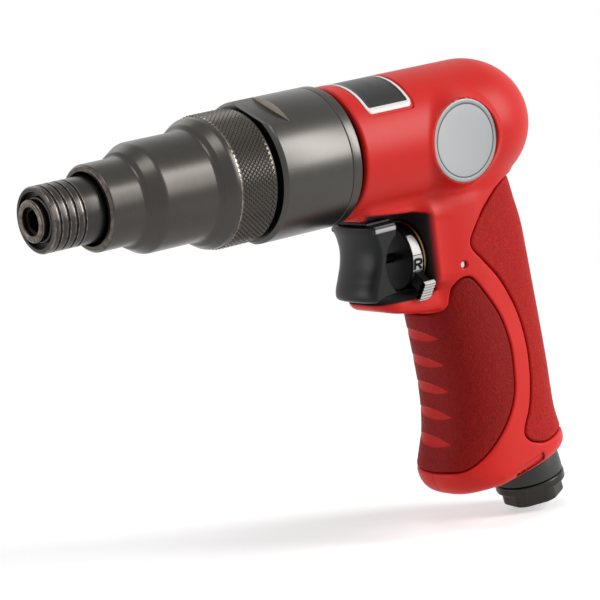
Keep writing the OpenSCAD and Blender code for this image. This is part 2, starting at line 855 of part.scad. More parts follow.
module nose_bush() {
    color("darkgoldenrod") turned([
        [bush_start, journal_r + slip], [bush_start, nose_bore_r - seat], [bush_end, nose_bore_r - seat],
        [bush_end, bush_flange_r], [bush_end + bush_flange_t, bush_flange_r],
        [bush_end + bush_flange_t, journal_r + slip]]);
}

module thrust_washer() {
    color("lightgray") ring(washer_r, journal_r + slip, washer_start, washer_start + washer_t);
}

module ring_gear() {
    color("slategray") difference() {
        bar(liner_r, ring_start, ring_start + ring_len);
        along_barrel(ring_start - over, ring_start + ring_len + over)
            rotate(180 / ring_teeth)
                polygon(gear_outline(ring_teeth, ring_pitch_r, tooth_root, tooth_top, -backlash));
    }
}

module carrier_bearing() {
    color("lightsteelblue") ball_bearing(gear_bearing, carrier_bearing_start);
}

module rotor_front_bearing() {
    color("lightsteelblue") ball_bearing(gear_bearing, front_bearing_start);
}

module rotor_rear_bearing() {
    color("lightsteelblue") ball_bearing(rear_bearing, rear_bearing_start + end_gap);
}

// The hole that locates the motor cylinder and its end plates on their dowel
module dowel_hole() {
    translate([0, 0, dowel_ring_r])
        bar(dowel_r + seat, front_plate_lip - dowel_overlap, rear_plate_front + dowel_overlap);
}

module front_end_plate() {
    color("lightgray") difference() {
        turned([
            [front_rim_start, front_rim_r], [front_rim_start, liner_r],
            [front_plate_lip + plate_lip_t, liner_r], [front_plate_lip + plate_lip_t, plate_lip_r],
            [front_plate_lip, plate_lip_r], [front_plate_lip, gear_bearing[1] + seat],
            [front_bearing_start, gear_bearing[1] + seat], [front_bearing_start, front_rim_r]]);
        dowel_hole();
    }
}

module rear_end_plate() {
    color("lightgray") difference() {
        turned([
            [rear_plate_front, rear_lip_r], [rear_plate_front, liner_r], [rear_plate_back, liner_r],
            [rear_plate_back, rear_bearing[1] + seat], [rear_bearing_start, rear_bearing[1] + seat],
            [rear_bearing_start, rear_lip_r]]);
        dowel_hole();
    }
}

module motor_cylinder() {
    color("darkgray") difference() {
        bar(liner_r, cylinder_start, cylinder_end);
        translate([0, 0, -bore_offset])
            bar(cylinder_bore_r, cylinder_start - over, cylinder_end + over);
        dowel_hole();
    }
}

module cylinder_pin() {
    color("silver") translate([0, 0, dowel_ring_r])
        bar(dowel_r, front_plate_lip - dowel_overlap + end_gap,
            rear_plate_front + dowel_overlap - end_gap);
}

module valve_bushing() {
    color("gold") at_valve() difference() {
        turned([
            [valve_bush_start, reverse_r + slip], [valve_bush_start, valve_bush_r - small_chamfer],
            [valve_bush_start + small_chamfer, valve_bush_r], [valve_bush_end, valve_bush_r],
            [valve_bush_end, tail_r], [tail_end, tail_r], [tail_end, tail_bore_r],
            [reverse_end + end_gap, tail_bore_r], [reverse_end + end_gap, reverse_r + slip]]);
        translate([valve_pin_station, tail_r + over, valve_drop - valve_pin_drop])
            rotate([right_angle, 0, 0]) cylinder(r = valve_pin_r + seat, h = 2 * (tail_r + over));
        for (j = [-1, 1])
            translate([port_station, j * air_port_gap, 0])
                cylinder(r = port_r, h = valve_bush_r + over);
        wire_ring(tail_r, seal_wire + seat, tail_end - 3 * seal_wire);
        wire_ring(valve_bush_r, seal_wire + seat, valve_bush_end - 2 * seal_wire);
    }
}

module bushing_seals() {
    color("black") at_valve() {
        intersection() {
            wire_ring(tail_r, seal_wire, tail_end - 3 * seal_wire);
            bar(tail_r, valve_bush_end, tail_end);
        }
        intersection() {
            wire_ring(valve_bush_r, seal_wire, valve_bush_end - 2 * seal_wire);
            bar(valve_bush_r, valve_bush_start, valve_bush_end);
        }
    }
}

module throttle_seat() {
    color("black") at_valve() ring(tail_r, seat_bore_r, tail_end + end_gap, tail_end + end_gap + seat_t);
}

module valve_spring() {
    color("silver") at_valve()
        coil(valve_coil_r, valve_wire_r, throttle_start + throttle_t + end_gap,
            chamber_back - end_gap, valve_coil_turns);
}

module inlet_bushing() {
    color("dimgray") at_inlet() difference() {
        union() {
            translate([0, 0, -collar_h - inlet_flange_h])
                cylinder(r = spigot_inlet_r, h = spigot_inlet_h + collar_h + inlet_flange_h);
            translate([0, 0, -collar_h - inlet_flange_h - end_gap])
                cylinder(r = inlet_flange_r, h = inlet_flange_h);
            intersection() {
                translate([0, 0, -collar_h - inlet_flange_h - inlet_hex_h])
                    rotate([0, 0, inlet_hex_turn])
                        cylinder(d = inlet_af / cos(30), h = inlet_hex_h + over, $fn = 6);
                translate([0, 0, -collar_h - inlet_flange_h - inlet_hex_h]) rotate_extrude()
                    polygon([[0, 0], [inlet_af / 2, 0], [inlet_af / 2 + inlet_corner, inlet_corner],
                        [inlet_af / 2 + inlet_corner, 2 * inlet_hex_h], [0, 2 * inlet_hex_h]]);
            }
        }
        translate([0, 0, -collar_h - inlet_flange_h - inlet_hex_h - over])
            cylinder(r = inlet_thread_r, h = inlet_thread_len + over);
        translate([0, 0, -collar_h - inlet_flange_h])
            cylinder(r = inlet_bore_r, h = collar_h + inlet_flange_h + spigot_inlet_h + over);
        translate([0, 0, spigot_inlet_h - 2 * screen_t])
            cylinder(r = screen_r + seat, h = 2 * screen_t + over);
        translate([0, 0, spigot_inlet_h / 4]) rotate_extrude()
            translate([spigot_inlet_r, 0]) circle(r = seal_wire + seat, $fn = ring_facets);
    }
}

module inlet_screen() {
    color("silver") at_inlet() translate([0, 0, spigot_inlet_h - 2 * screen_t + end_gap])
        linear_extrude(screen_t) difference() {
            circle(r = screen_r);
            for (i = [-2:2], j = [-2:2])
                if (i * i + j * j < 7)
                    translate([i * screen_pitch, j * screen_pitch])
                        square(2 * screen_hole_r, center = true);
        }
}

module inlet_seal() {
    color("black") at_inlet() intersection() {
        translate([0, 0, spigot_inlet_h / 4]) rotate_extrude()
            translate([spigot_inlet_r, 0]) circle(r = seal_wire, $fn = ring_facets);
        cylinder(r = spigot_inlet_r, h = spigot_inlet_h);
    }
}

module exhaust_collar() {
    color([0.16, 0.16, 0.17]) at_inlet() difference() {
        translate([0, 0, -collar_h]) rotate_extrude() polygon([
            [spigot_inlet_r + end_gap, 0], [collar_r - 2 * end_gap, 0], [collar_r, small_chamfer],
            [collar_r - collar_taper, collar_h - end_gap],
            [collar_r - collar_taper - collar_wall, collar_h - end_gap],
            [collar_r - collar_wall, collar_wall], [spigot_inlet_r + end_gap, collar_wall]]);
        for (i = [0:collar_slots - 1])
            rotate([0, 0, collar_slot_turn + collar_slot_step * i])
                translate([collar_r - 2 * collar_wall, -slot_w / 2, slot_h - collar_h])
                    cube([3 * collar_wall, slot_w, slot_h]);
    }
}

module exhaust_muffler() {
    color("tan") at_inlet() translate([0, 0, -collar_h + collar_wall + end_gap]) difference() {
        cylinder(r = collar_r - collar_taper - collar_wall - end_gap,
            h = collar_h - collar_wall - 3 * end_gap);
        translate([0, 0, -over]) cylinder(r = spigot_inlet_r + end_gap, h = collar_h + 2 * over);
    }
}

module chuck_sleeve() {
    color([0.3, 0.3, 0.31]) difference() {
        turned([
            [sleeve_front, lip_r], [sleeve_front, sleeve_r - small_chamfer],
            [sleeve_front + small_chamfer, sleeve_r], [sleeve_end - small_chamfer, sleeve_r],
            [sleeve_end, sleeve_r - small_chamfer], [sleeve_end, sleeve_bore_r],
            [land_end, sleeve_bore_r], [land_end, tube_r + slip],
            [sleeve_front + lip_depth, tube_r + slip], [sleeve_front + lip_depth, lip_r]]);
        for (i = [0:groove_count - 1])
            let (at = sleeve_front + groove_first + groove_pitch * i)
                ring(sleeve_r + over, sleeve_r - groove_depth, at - groove_w / 2, at + groove_w / 2);
    }
}

module spindle() {
    color([0.42, 0.4, 0.39]) difference() {
        turned([
            [0, 0], [0, tube_r - small_chamfer], [small_chamfer, tube_r],
            [ring_station - ring_wire, tube_r], [ring_station - ring_wire, ring_groove_r],
            [ring_station + ring_wire, ring_groove_r], [ring_station + ring_wire, tube_r],
            [journal_start, tube_r], [journal_start, journal_r], [flange_start, journal_r],
            [flange_start, flange_r], [flange_end, flange_r], [flange_end, 0]]);
        bar(mouth_r, -over, mouth_depth);
        translate([mouth_depth - over, 0, 0]) rotate([0, right_angle, 0])
            cylinder(d = hex_af / cos(30), h = socket_depth - mouth_depth + over, $fn = 6);
        translate([bit_ball_station, 0, 0]) cylinder(r = bit_ball_r + slip, h = tube_r + over);
        bar(pilot_r + slip, flange_end - pilot_len, flange_end + over);
        clutch_ball_set(clutch_ball_r + pocket_clear);
    }
}

module clutch_ball_set(r) {
    for (i = [0:clutch_balls_n - 1])
        rotate([full_turn * i / clutch_balls_n, 0, 0]) translate([ball_station, 0, ball_ring_r])
            sphere(r = r, $fn = ball_facets);
}

module retaining_ring() {
    color("silver") wire_ring(tube_r, ring_wire - seat, ring_station);
}

module bit_ball() {
    color("silver") translate([bit_ball_station, 0, bit_ball_offset])
        sphere(r = bit_ball_r, $fn = ball_facets);
}

module sleeve_spring() {
    color("silver") coil(sleeve_coil_r, sleeve_wire_r, land_end + end_gap, journal_start - end_gap,
        sleeve_coil_turns);
}

module clutch_cam() {
    color("slategray") difference() {
        union() {
            ring(cam_r, shaft_r + slip, cam_start, cam_end);
            translate([cam_start, -key_w / 2, shaft_r - key_h]) cube([cam_t, key_w, 1.5 * key_h]);
        }
        clutch_ball_set(clutch_ball_r + pocket_clear);
    }
}

module clutch_balls() {
    color("silver") clutch_ball_set(clutch_ball_r);
}

module clutch_spring() {
    color("silver") coil(clutch_coil_r, clutch_wire_r, cam_end + end_gap,
        spring_washer_start - end_gap, clutch_coil_turns);
}

module planet_carrier() {
    color("dimgray") difference() {
        union() {
            bar(pilot_r, flange_end - pilot_len + 4 * end_gap, shaft_start + over);
            bar(shaft_r, shaft_start, carrier_bearing_start);
            bar(gear_bearing[0] - seat, carrier_bearing_start - end_gap, front_plate_start + over);
            bar(plate_r, front_plate_start, front_plate_end);
            ring(plate_r, sun_clear_r, rear_plate_start, rear_plate_end);
            for (i = [0:planets_n - 1])
                rotate([full_turn * (i + 0.5) / planets_n, 0, 0]) translate([0, 0, post_ring_r])
                    bar(post_r, front_plate_end - over, rear_plate_start + over);
        }
        planet_pin_set(planet_pin_r + seat, front_plate_start - over, rear_plate_end + over);
        translate([cam_start - over, -key_w / 2 - pocket_clear, shaft_r - key_h - pocket_clear])
            cube([cam_t + clutch_travel + 2 * over, key_w + 2 * pocket_clear, 2 * key_h]);
    }
}

module planet_pin_set(r, start, end) {
    for (i = [0:planets_n - 1])
        rotate([full_turn * i / planets_n, 0, 0]) translate([0, 0, planet_circle_r]) bar(r, start, end);
}

module planet_pins() {
    color("silver") planet_pin_set(planet_pin_r, front_plate_start, rear_plate_end);
}

module adjusting_nut() {
    color("darkslategray") difference() {
        ring(nut_r, shaft_r + slip, nut_start, nut_start + nut_t);
        for (i = [0:5])
            rotate([full_turn * i / 6, 0, 0]) translate([nut_start - over, -key_w / 2, nut_r - key_h])
                cube([nut_t + 2 * over, key_w, 2 * key_h]);
    }
}

module spring_washer() {
    color("lightgray") ring(nut_r, shaft_r + slip, spring_washer_start,
        spring_washer_start + spring_washer_t);
}

module planet_gear(i) {
    color("slategray") rotate([full_turn * i / planets_n, 0, 0]) translate([0, 0, planet_circle_r])
        difference() {
            along_barrel(planet_start, planet_start + planet_width)
                rotate(180 / planet_teeth)
                    polygon(gear_outline(planet_teeth, sun_pitch_r, tooth_top, tooth_root, backlash));
            bar(planet_pin_r + slip, planet_start - over, planet_start + planet_width + over);
        }
}

module planet_gear_1() { planet_gear(0); }
module planet_gear_2() { planet_gear(1); }
module planet_gear_3() { planet_gear(2); }

module rotor() {
    color("gray") {
        along_barrel(planet_start + 2 * end_gap, pinion_end + over)
            polygon(gear_outline(planet_teeth, sun_pitch_r, tooth_top, tooth_root, backlash));
        bar(gear_bearing[0] - seat, pinion_end, front_plate_lip);
        bar(gear_bearing[0] + 2 * end_gap, front_plate_lip, rotor_start + over);
        bar(rear_bearing[0] - seat, rotor_end - over, rear_bearing_start + rear_bearing[2] + end_gap);
        difference() {
            bar(rotor_r, rotor_start, rotor_end);
            vane_set(vane_t + 2 * pocket_clear, slot_depth, rotor_start - over, rotor_end + over,
                2 * over);
        }
    }
}

module vane_set(thick, depth, start, end, proud) {
    for (i = [0:vane_count - 1])
        rotate([full_turn * i / vane_count, 0, 0]) translate([start, -thick / 2, rotor_r - depth])
            cube([end - start, thick, depth + proud]);
}

module rotor_vanes() {
    color("saddlebrown") vane_set(vane_t, slot_depth - end_gap, rotor_start, rotor_end, -end_gap);
}

// Half of one level of the trigger, from the middle of its front to its back corner
function trigger_level(row) =
    let (len = trigger_back - trigger_front, z = -trigger_top - row[0] * (trigger_bottom - trigger_top),
        nose = trigger_front + row[1] * len, ridge = trigger_front + row[2] * len)
    concat([for (k = [0:trigger_points - 1]) let (a = nose_wrap * k / (trigger_points - 1))
        [nose + (ridge - nose) * (1 - cos(a)) / (1 - cos(nose_wrap)),
            trigger_half * sin(a) / sin(nose_wrap), z]],
        [[trigger_back, trigger_half, z]]);
function trigger_loop(row) = let (half = trigger_level(row), n = len(half))
    concat(half, [for (k = [0:n - 2]) let (p = half[n - 1 - k]) [p[0], -p[1], p[2]]]);

module trigger_form() {
    loops = [for (row = trigger_shares) trigger_loop(row)];
    n = len(loops[0]);
    rows = len(loops);
    points = [for (loop = loops, p = loop) p];
    skin = [for (i = [0:rows - 2], k = [0:n - 1])
        let (m = (k + 1) % n, p = i * n, q = p + n)
        each [[p + k, q + m, p + m], [p + k, q + k, q + m]]];
    polyhedron(points = points, faces = concat(skin,
        [[for (k = [0:n - 1]) k]], [[for (k = [0:n - 1]) rows * n - 1 - k]]));
}

module trigger() {
    color([0.12, 0.12, 0.13]) difference() {
        union() {
            difference() {
                trigger_form();
                translate([hollow_start, trigger_wall - trigger_half, floor_t - trigger_bottom])
                    cube([handle_depth, 2 * (trigger_half - trigger_wall),
                        trigger_bottom - trigger_top - floor_t - trigger_wall]);
                translate([thumb_station, handle_half, -valve_drop - thumb_lower])
                    rotate([right_angle, 0, 0]) cylinder(r = thumb_r, h = 2 * handle_half);
            }
            trigger_guide();
            at_valve() bar(boss_round_r, boss_front, boss_back);
        }
        at_valve() bar(stem_r + seat, stem_front, boss_back + over);
        at_valve() translate([stem_pin_station, boss_round_r + over, 0]) rotate([right_angle, 0, 0])
            cylinder(r = stem_pin_r + seat, h = 2 * (boss_round_r + over));
    }
}

// The rail on top of the trigger that runs under the saddle of the housing
module trigger_guide() {
    translate([trigger_front + guide_set, -guide_half, -trigger_top - trigger_wall])
        cube([trigger_len - guide_set, 2 * guide_half, trigger_gap + trigger_wall - guide_gap]);
}

module trigger_stem() {
    color("silver") at_valve() difference() {
        bar(stem_r, stem_front + end_gap, throttle_start);
        translate([stem_pin_station, boss_round_r, 0]) rotate([right_angle, 0, 0])
            cylinder(r = stem_pin_r + seat, h = 2 * boss_round_r);
    }
}

module trigger_pin() {
    color("silver") at_valve() translate([stem_pin_station, boss_round_r, 0])
        rotate([right_angle, 0, 0]) cylinder(r = stem_pin_r, h = 2 * boss_round_r);
}

module throttle_valve() {
    color("goldenrod") at_valve() turned([
        [throttle_start, 0], [throttle_start, throttle_r - small_chamfer],
        [throttle_start + small_chamfer, throttle_r], [throttle_start + throttle_t, throttle_r],
        [throttle_start + throttle_t, 0]]);
}

module reverse_knob() {
    color([0.14, 0.14, 0.15]) at_valve() difference() {
        union() {
            turned([
                [knob_front, 0], [knob_front, knob_r - small_chamfer],
                [knob_front + small_chamfer, knob_r], [knob_end - small_chamfer, knob_r],
                [knob_end, knob_r - small_chamfer], [knob_end, 0]]);
            for (side = [0, 1]) rotate([tab_angle - right_angle + 180 * side, 0, 0]) {
                translate([knob_front, -tab_w / 2, 0]) cube([knob_t, tab_w, tab_reach - tab_t / 2]);
                translate([knob_front, -tab_w / 2, tab_reach - tab_t]) cube([tab_len, tab_w, tab_t]);
            }
        }
        for (side = [0, 1], i = [0:tab_ribs - 1]) rotate([tab_angle - right_angle + 180 * side, 0, 0])
            translate([knob_front - tab_len,
                tab_w * ((i + rib_share) / tab_ribs - rib_share) - tab_w / tab_ribs / 4,
                tab_reach - rib_depth])
                cube([3 * tab_len, tab_w / tab_ribs / 2, tab_t]);
        bar(stem_r + slip, knob_front - over, knob_end + over);
    }
}

module reverse_valve() {
    color("khaki") at_valve() difference() {
        ring(reverse_r, reverse_bore_r, knob_end, reverse_end);
        for (i = [0:3])
            rotate([full_turn * i / 4, 0, 0]) translate([port_station, 0, 0])
                cylinder(r = port_r, h = reverse_r + over);
    }
}

housing();
front_grip();
rear_grip();
label_plate();
medallion();
valve_pin();
gear_case();
clamp_ring();
nose_housing();
nose_bush();
thrust_washer();
ring_gear();
carrier_bearing();
rotor_front_bearing();
rotor_rear_bearing();
front_end_plate();
rear_end_plate();
motor_cylinder();
cylinder_pin();
valve_bushing();
bushing_seals();
throttle_seat();
valve_spring();
inlet_bushing();
inlet_screen();
inlet_seal();
exhaust_collar();
exhaust_muffler();
chuck_sleeve();
spindle();
retaining_ring();
bit_ball();
sleeve_spring();
clutch_cam();
clutch_balls();
clutch_spring();
planet_carrier();
planet_pins();
adjusting_nut();
spring_washer();
planet_gear_1();
planet_gear_2();
planet_gear_3();
rotor();
rotor_vanes();
trigger();
trigger_stem();
trigger_pin();
throttle_valve();
reverse_knob();
reverse_valve();
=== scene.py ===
import json
import math

import bmesh
import bpy
import numpy as np
from mathutils import Matrix, Vector


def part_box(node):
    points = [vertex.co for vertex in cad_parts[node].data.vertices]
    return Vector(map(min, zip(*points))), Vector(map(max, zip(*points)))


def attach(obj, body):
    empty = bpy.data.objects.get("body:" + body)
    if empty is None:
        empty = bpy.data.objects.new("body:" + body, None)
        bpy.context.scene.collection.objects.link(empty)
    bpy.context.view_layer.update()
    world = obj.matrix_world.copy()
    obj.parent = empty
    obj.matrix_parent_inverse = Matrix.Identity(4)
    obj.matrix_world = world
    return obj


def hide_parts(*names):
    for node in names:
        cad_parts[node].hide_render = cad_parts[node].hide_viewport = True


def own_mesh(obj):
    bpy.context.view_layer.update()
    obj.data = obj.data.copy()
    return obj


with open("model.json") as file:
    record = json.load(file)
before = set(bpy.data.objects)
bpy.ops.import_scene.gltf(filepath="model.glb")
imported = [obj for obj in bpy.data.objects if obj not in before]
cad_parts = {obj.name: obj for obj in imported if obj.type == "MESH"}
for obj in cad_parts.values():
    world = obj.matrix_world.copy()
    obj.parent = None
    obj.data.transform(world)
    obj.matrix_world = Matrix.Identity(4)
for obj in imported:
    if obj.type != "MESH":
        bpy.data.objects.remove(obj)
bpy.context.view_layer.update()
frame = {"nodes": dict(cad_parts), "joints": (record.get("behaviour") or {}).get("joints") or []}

JOINTS = {joint["name"]: joint for joint in frame["joints"]}
MM = 0.001


def span(node, axis):
    """Where a CAD node starts and ends along x, y or z, in millimetres."""
    return [round(corner["xyz".index(axis)] / MM, 2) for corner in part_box(node)]


# Sizes in millimetres, with stations along the barrel back from the mouth of the bit socket
HOUSING_START = span("housing", "x")[0]
BARREL_R = span("housing", "z")[1]
BARREL_END = 158.2
DOME = 21.5
FIT = 0.02
SPIGOT_R = 18.2
MOTOR_R = span("motor_cylinder", "z")[1]
BUSHING_R = span("valve_bushing", "y")[1]
SEAT_R = span("throttle_seat", "y")[1]
VALVE_DROP = round(-JOINTS["reverse_turn"]["pos_m"][2] / MM, 2)
PIN_X = sum(span("valve_pin", "x")) / 2
PIN_Z = sum(span("valve_pin", "z")) / 2

# The trigger's pocket: its roof rises towards the front at its sides
POCKET_BACK = 130.0
ROOF = -21.0
ROOF_SIDES = 1.6
ROOF_SLOPE = 0.13
ROOF_AT = 112
SHELF_TOP = -46.1

# The chuck, nose and gear case
BIT_HALF = 6.35 / 2
SPINDLE_R = 6.1
SPINDLE_END = span("spindle", "x")[1]
FLANGE_R = span("spindle", "y")[1]
SLEEVE_START, SLEEVE_END = span("chuck_sleeve", "x")
SLEEVE_R = span("chuck_sleeve", "z")[1]
SLEEVE_GROOVES = (4.1, 6.8, 9.5, 12.2)
NOSE_START, NOSE_END = span("nose_housing", "x")
KNURL_R = span("nose_housing", "y")[1]
KNURL_ROOT = 19.25
CASE_START, CASE_END = span("gear_case", "x")
CASE_R = span("gear_case", "z")[1]
CLAMP_START, CLAMP_END = span("clamp_ring", "x")
FLAT_TURN = math.radians(68)
FLAT_HALF = 19.0
FLAT_END = 81.75

# The trigger and the reversing knob
TRIGGER_HALF = span("trigger", "y")[1]
TRIGGER_BACK = span("trigger", "x")[1]
TRIGGER_TOP = -22.5
TRIGGER_BEND = math.radians(75)
LEDGE_X = 116.0
LEDGE_HALF = 4.3
LEDGE_Z = -24.2
KNOB_AT = 126.9
KNOB_R = 10.3
TAB_TURN = math.radians(215)
TAB_FACE = 16.4
RIB_PITCH = 1.1
RIM_R = 10.4
MARK_R = 10.26
LETTER_R = 10.42
LETTER_TURN = 9.5

# The air inlet, on its leaning axis
INLET = (168.2, -105.8)
TILT = math.radians(10)
INLET_R = span("inlet_bushing", "y")[1]
INLET_SPIGOT_R = 7.6
PASSAGE_R = 4.2
HEX_HALF = 9.0
HEX_CORNER = 9.6
HEX_TURN = math.radians(25)
THREAD_R = 5.75
THREAD_DEPTH = 0.55
THREAD_PITCH = 1.41
SLOTS = 5
SLOT_FIRST = -7.0
SLOT_STEP = 30.0

# The label, the badge, the plaque and the hollows for the fingers
LABEL_X = sum(span("label_plate", "x")) / 2
LABEL_LONG = span("label_plate", "x")[1] - LABEL_X
LABEL_HALF = span("label_plate", "y")[1]
LABEL_CORNER = 1.5
LABEL_BORDER = 0.92
BADGE_X = 142.8
BADGE_DROP = -1.2
BADGE_LEAN = math.radians(2)
BADGE_R = 12.45
BADGE_SEAT = 19.6
BADGE_LINE = 11.0
PLAQUE = (156.8, -105.3)
PLAQUE_HALF = (6.0, 1.25)
PLAQUE_TURN = math.radians(15.6)
FINGER_TOPS = (-61.1, -69.5, -77.9, -86.0, -94.3)
FINGER_BACK = 141.5
FINGER_HALF = 10.0
FINGER_SHIFT = 3.4
FINGER_H = 1.8
FINGER_DROOP = 0.08


def leaning(x, z, middle, lean):
    """Distances from a middle along a leaning line and square to it, for arrays and sockets alike."""
    dx, dz = x - middle[0], z - middle[1]
    c, s = math.cos(lean), math.sin(lean)
    return dx * c + dz * s, dz * c - dx * s


# Shader maths

class Socket:
    """One output of a tree's nodes. Arithmetic on it adds Math nodes."""

    def __init__(self, tree, port=None):
        self.tree = tree
        self.port = port

    def node(self, kind, settings, inputs, output=0):
        """A new node's output, or none where it's the last of its tree."""
        made = self.tree.nodes.new(kind)
        for name, value in settings.items():
            setattr(made, name, value)
        for name, value in inputs.items():
            if isinstance(value, Socket):
                self.tree.links.new(value.port, made.inputs[name])
            else:
                made.inputs[name].default_value = value
        return Socket(self.tree, made.outputs[output]) if made.outputs else None

    def math(self, operation, a, b=0.0):
        return self.node("ShaderNodeMath", {"operation": operation}, {0: a, 1: b})

    def __add__(self, other):
        return self.math("ADD", self, other)

    def __radd__(self, other):
        return self.math("ADD", other, self)

    def __sub__(self, other):
        return self.math("SUBTRACT", self, other)

    def __rsub__(self, other):
        return self.math("SUBTRACT", other, self)

    def __mul__(self, other):
        return self.math("MULTIPLY", self, other)

    def __rmul__(self, other):
        return self.math("MULTIPLY", other, self)

    def __truediv__(self, other):
        return self.math("DIVIDE", self, other)

    def __pow__(self, other):
        return self.math("POWER", self, other)

    def __abs__(self):
        return self.math("ABSOLUTE", self)

    def clamp(self):
        return self.node("ShaderNodeClamp", {}, {"Value": self})

    def largest(self, first, *others):
        for other in others:
            first = self.math("MAXIMUM", first, other)
        return first


def darker(colour, tone):
    return tuple(c * tone for c in colour)


class Finish(Socket):
    """A material under construction, with its sizes in millimetres."""

    def __init__(self, name):
        self.material = bpy.data.materials.new(name)
        self.material.use_nodes = True
        super().__init__(self.material.node_tree)
        self.tree.nodes.clear()

    def place(self):
        """The place on the object, in metres."""
        return self.node("ShaderNodeTexCoord", {}, {}, "Object")

    def divided(self, x, y, z):
        """The place in steps of a size of its own along each axis."""
        return self.node("ShaderNodeVectorMath", {"operation": "MULTIPLY"},
                         {0: self.place(), 1: (1 / (x * MM), 1 / (y * MM), 1 / (z * MM))})

    def axes(self):
        """The place in millimetres along x, y and z."""
        split = self.node("ShaderNodeSeparateXYZ", {}, {"Vector": self.divided(1, 1, 1)})
        return [Socket(self.tree, port) for port in split.port.node.outputs]

    def noise(self, size, detail=2.0, roughness=0.5):
        """Even noise whose grain is about a size across."""
        inputs = {"Vector": self.place(), "Scale": 1 / (size * MM), "Detail": detail, "Roughness": roughness}
        return self.node("ShaderNodeTexNoise", {}, inputs, "Fac")

    def streaks(self, x, y, z, detail):
        """Noise whose grain has a size of its own along each axis."""
        inputs = {"Vector": self.divided(x, y, z), "Scale": 1.0, "Detail": detail, "Roughness": 0.7}
        return self.node("ShaderNodeTexNoise", {}, inputs, "Fac")

    def mix(self, factor, first, second):
        """Goes from one colour to another as the factor goes from nought to one."""
        first, second = (c + (1,) if isinstance(c, tuple) else c for c in (first, second))
        return self.node("ShaderNodeMix", {"data_type": "RGBA"}, {0: factor, 6: first, 7: second}, 2)

    def bump(self, height, depth, strength):
        inputs = {"Strength": strength, "Distance": depth * MM, "Height": height}
        return self.node("ShaderNodeBump", {}, inputs, "Normal")

    def done(self, colour, roughness, metallic=0.0, normal=None, **others):
        inputs = {"Base Color": colour, "Roughness": roughness, "Metallic": metallic}
        inputs.update({name.replace("_", " "): value for name, value in others.items()})
        if normal:
            inputs["Normal"] = normal
        shader = self.node("ShaderNodeBsdfPrincipled", {}, inputs)
        self.node("ShaderNodeOutputMaterial", {}, {"Surface": shader})
        return self.material


# Kinds of finish

def parting_line(x, y, z):
    """The fine line down the front of the heel where the mould's halves met."""
    line = (1.3 - abs(y) / 0.22).clamp() * (140 - x).clamp()
    return line * ((-97 - z) / 2).clamp() * ((z + 112.5) / 2).clamp()


def red_paint():
    """Red enamel, with painted shade that turns it near black inside the trigger's pocket."""
    f = Finish("red_paint")
    clouds = f.noise(45)
    grain = f.noise(0.5)
    x, y, z = f.axes()
    roof = ROOF + ROOF_SIDES + 0.5 - (x - ROOF_AT) * ROOF_SLOPE
    # Painted shade: the paint turns near black inside the trigger's pocket, where shadow falls.
    painted_pocket_shade = ((POCKET_BACK + 2.9 - x) / 2.4).clamp() * ((roof - z) / 0.8).clamp()
    painted_pocket_shade = painted_pocket_shade * ((z - SHELF_TOP + 1) / 0.6).clamp() * ((x - 109) / 2).clamp()
    # A dark line along the plaque's sunk edge is painted shade; the parting line, a real mark, joins it.
    along, across = leaning(x, z, PLAQUE, PLAQUE_TURN)
    edge = f.largest(abs(along) - PLAQUE_HALF[0], abs(across) - PLAQUE_HALF[1])
    line = (1.3 - abs(edge) / 0.3).clamp() * (-8 - y).clamp()
    line = f.largest(line, parting_line(x, y, z))
    colour = f.mix(clouds * 0.35, (0.60, 0.010, 0.005), (0.54, 0.008, 0.004))
    colour = f.mix(line * 0.75, colour, (0.12, 0.003, 0.002))
    colour = f.mix(painted_pocket_shade, colour, (0.004, 0.003, 0.003))
    rough = 0.4 + grain * 0.1 + painted_pocket_shade * 0.3
    return f.done(colour, rough, normal=f.bump(grain, 0.04, 0.5), Specular_IOR_Level=0.27)


def grip_rubber(name, tone):
    """Rubber grained like a fingertip, with smooth patches where the fingers lie."""
    f = Finish(name)
    x, y, z = f.axes()
    along = (abs(y - FINGER_SHIFT) / FINGER_HALF).clamp()
    reach = (1 - along ** 2.2) ** 0.9 * FINGER_H
    bands = [((reach - abs(z - top - y * FINGER_DROOP)) / 0.3).clamp() for top in FINGER_TOPS]
    smooth = f.largest(*bands) * f.math("GREATER_THAN", FINGER_BACK - x, 0.0)
    swirl = f.noise(2.3, 0.5) * 6.2 + (x * 0.8 - z * 0.3) / 1.1
    groove = f.math("COSINE", swirl * (2 * math.pi)) * 0.5 + 0.5
    # The tone darkens or lightens the whole rubber: painted shade on the front grip, painted light on the
    # rear one.
    base = darker((0.40, 0.0085, 0.006), tone)
    worn = f.mix(f.noise(30) * 0.5, base, darker(base, 0.8))
    grained = f.mix(groove * 0.4, worn, darker(base, 0.3))
    colour = f.mix(smooth, grained, (0.5, 0.012, 0.008))
    colour = f.mix(parting_line(x, y, z) * 0.8, colour, (0.06, 0.002, 0.002))
    height = (1 - groove) * (1 - smooth * 0.9)
    return f.done(colour, 0.6 - smooth * 0.15, normal=f.bump(height, 0.06, 0.8), Specular_IOR_Level=0.14)


def turned_metal(name, colour, rough, tone=0.25, worn=(), bare=(0.2, 0.165, 0.14)):
    """Turned metal: fine rings round the barrel, a slow drift of tone, and edges made pale brown, partly
    rubbed wear and partly a painted highlight.
    """
    f = Finish(name)
    rings = f.streaks(0.35, 50 / 3, 50 / 3, 2.0)
    drift = f.noise(12, 2.0, 0.6)
    shade = f.mix((rings * 0.6 + drift * 0.5 - 0.05).clamp(), darker(colour, 1 - tone), colour)
    if worn:
        x, y, z = f.axes()
        # The pale brown on the listed edges is partly rubbed wear and partly a painted highlight.
        wear_and_edge_highlight = f.largest(*((1.2 - abs(x - at) / half).clamp() for at, half in worn))
        shade = f.mix(wear_and_edge_highlight * (f.noise(1.6) * 3 - 0.9).clamp(), shade, bare)
    return f.done(shade, rough - 0.05 + rings * 0.1, 1.0, normal=f.bump(rings, 0.012, 0.35))


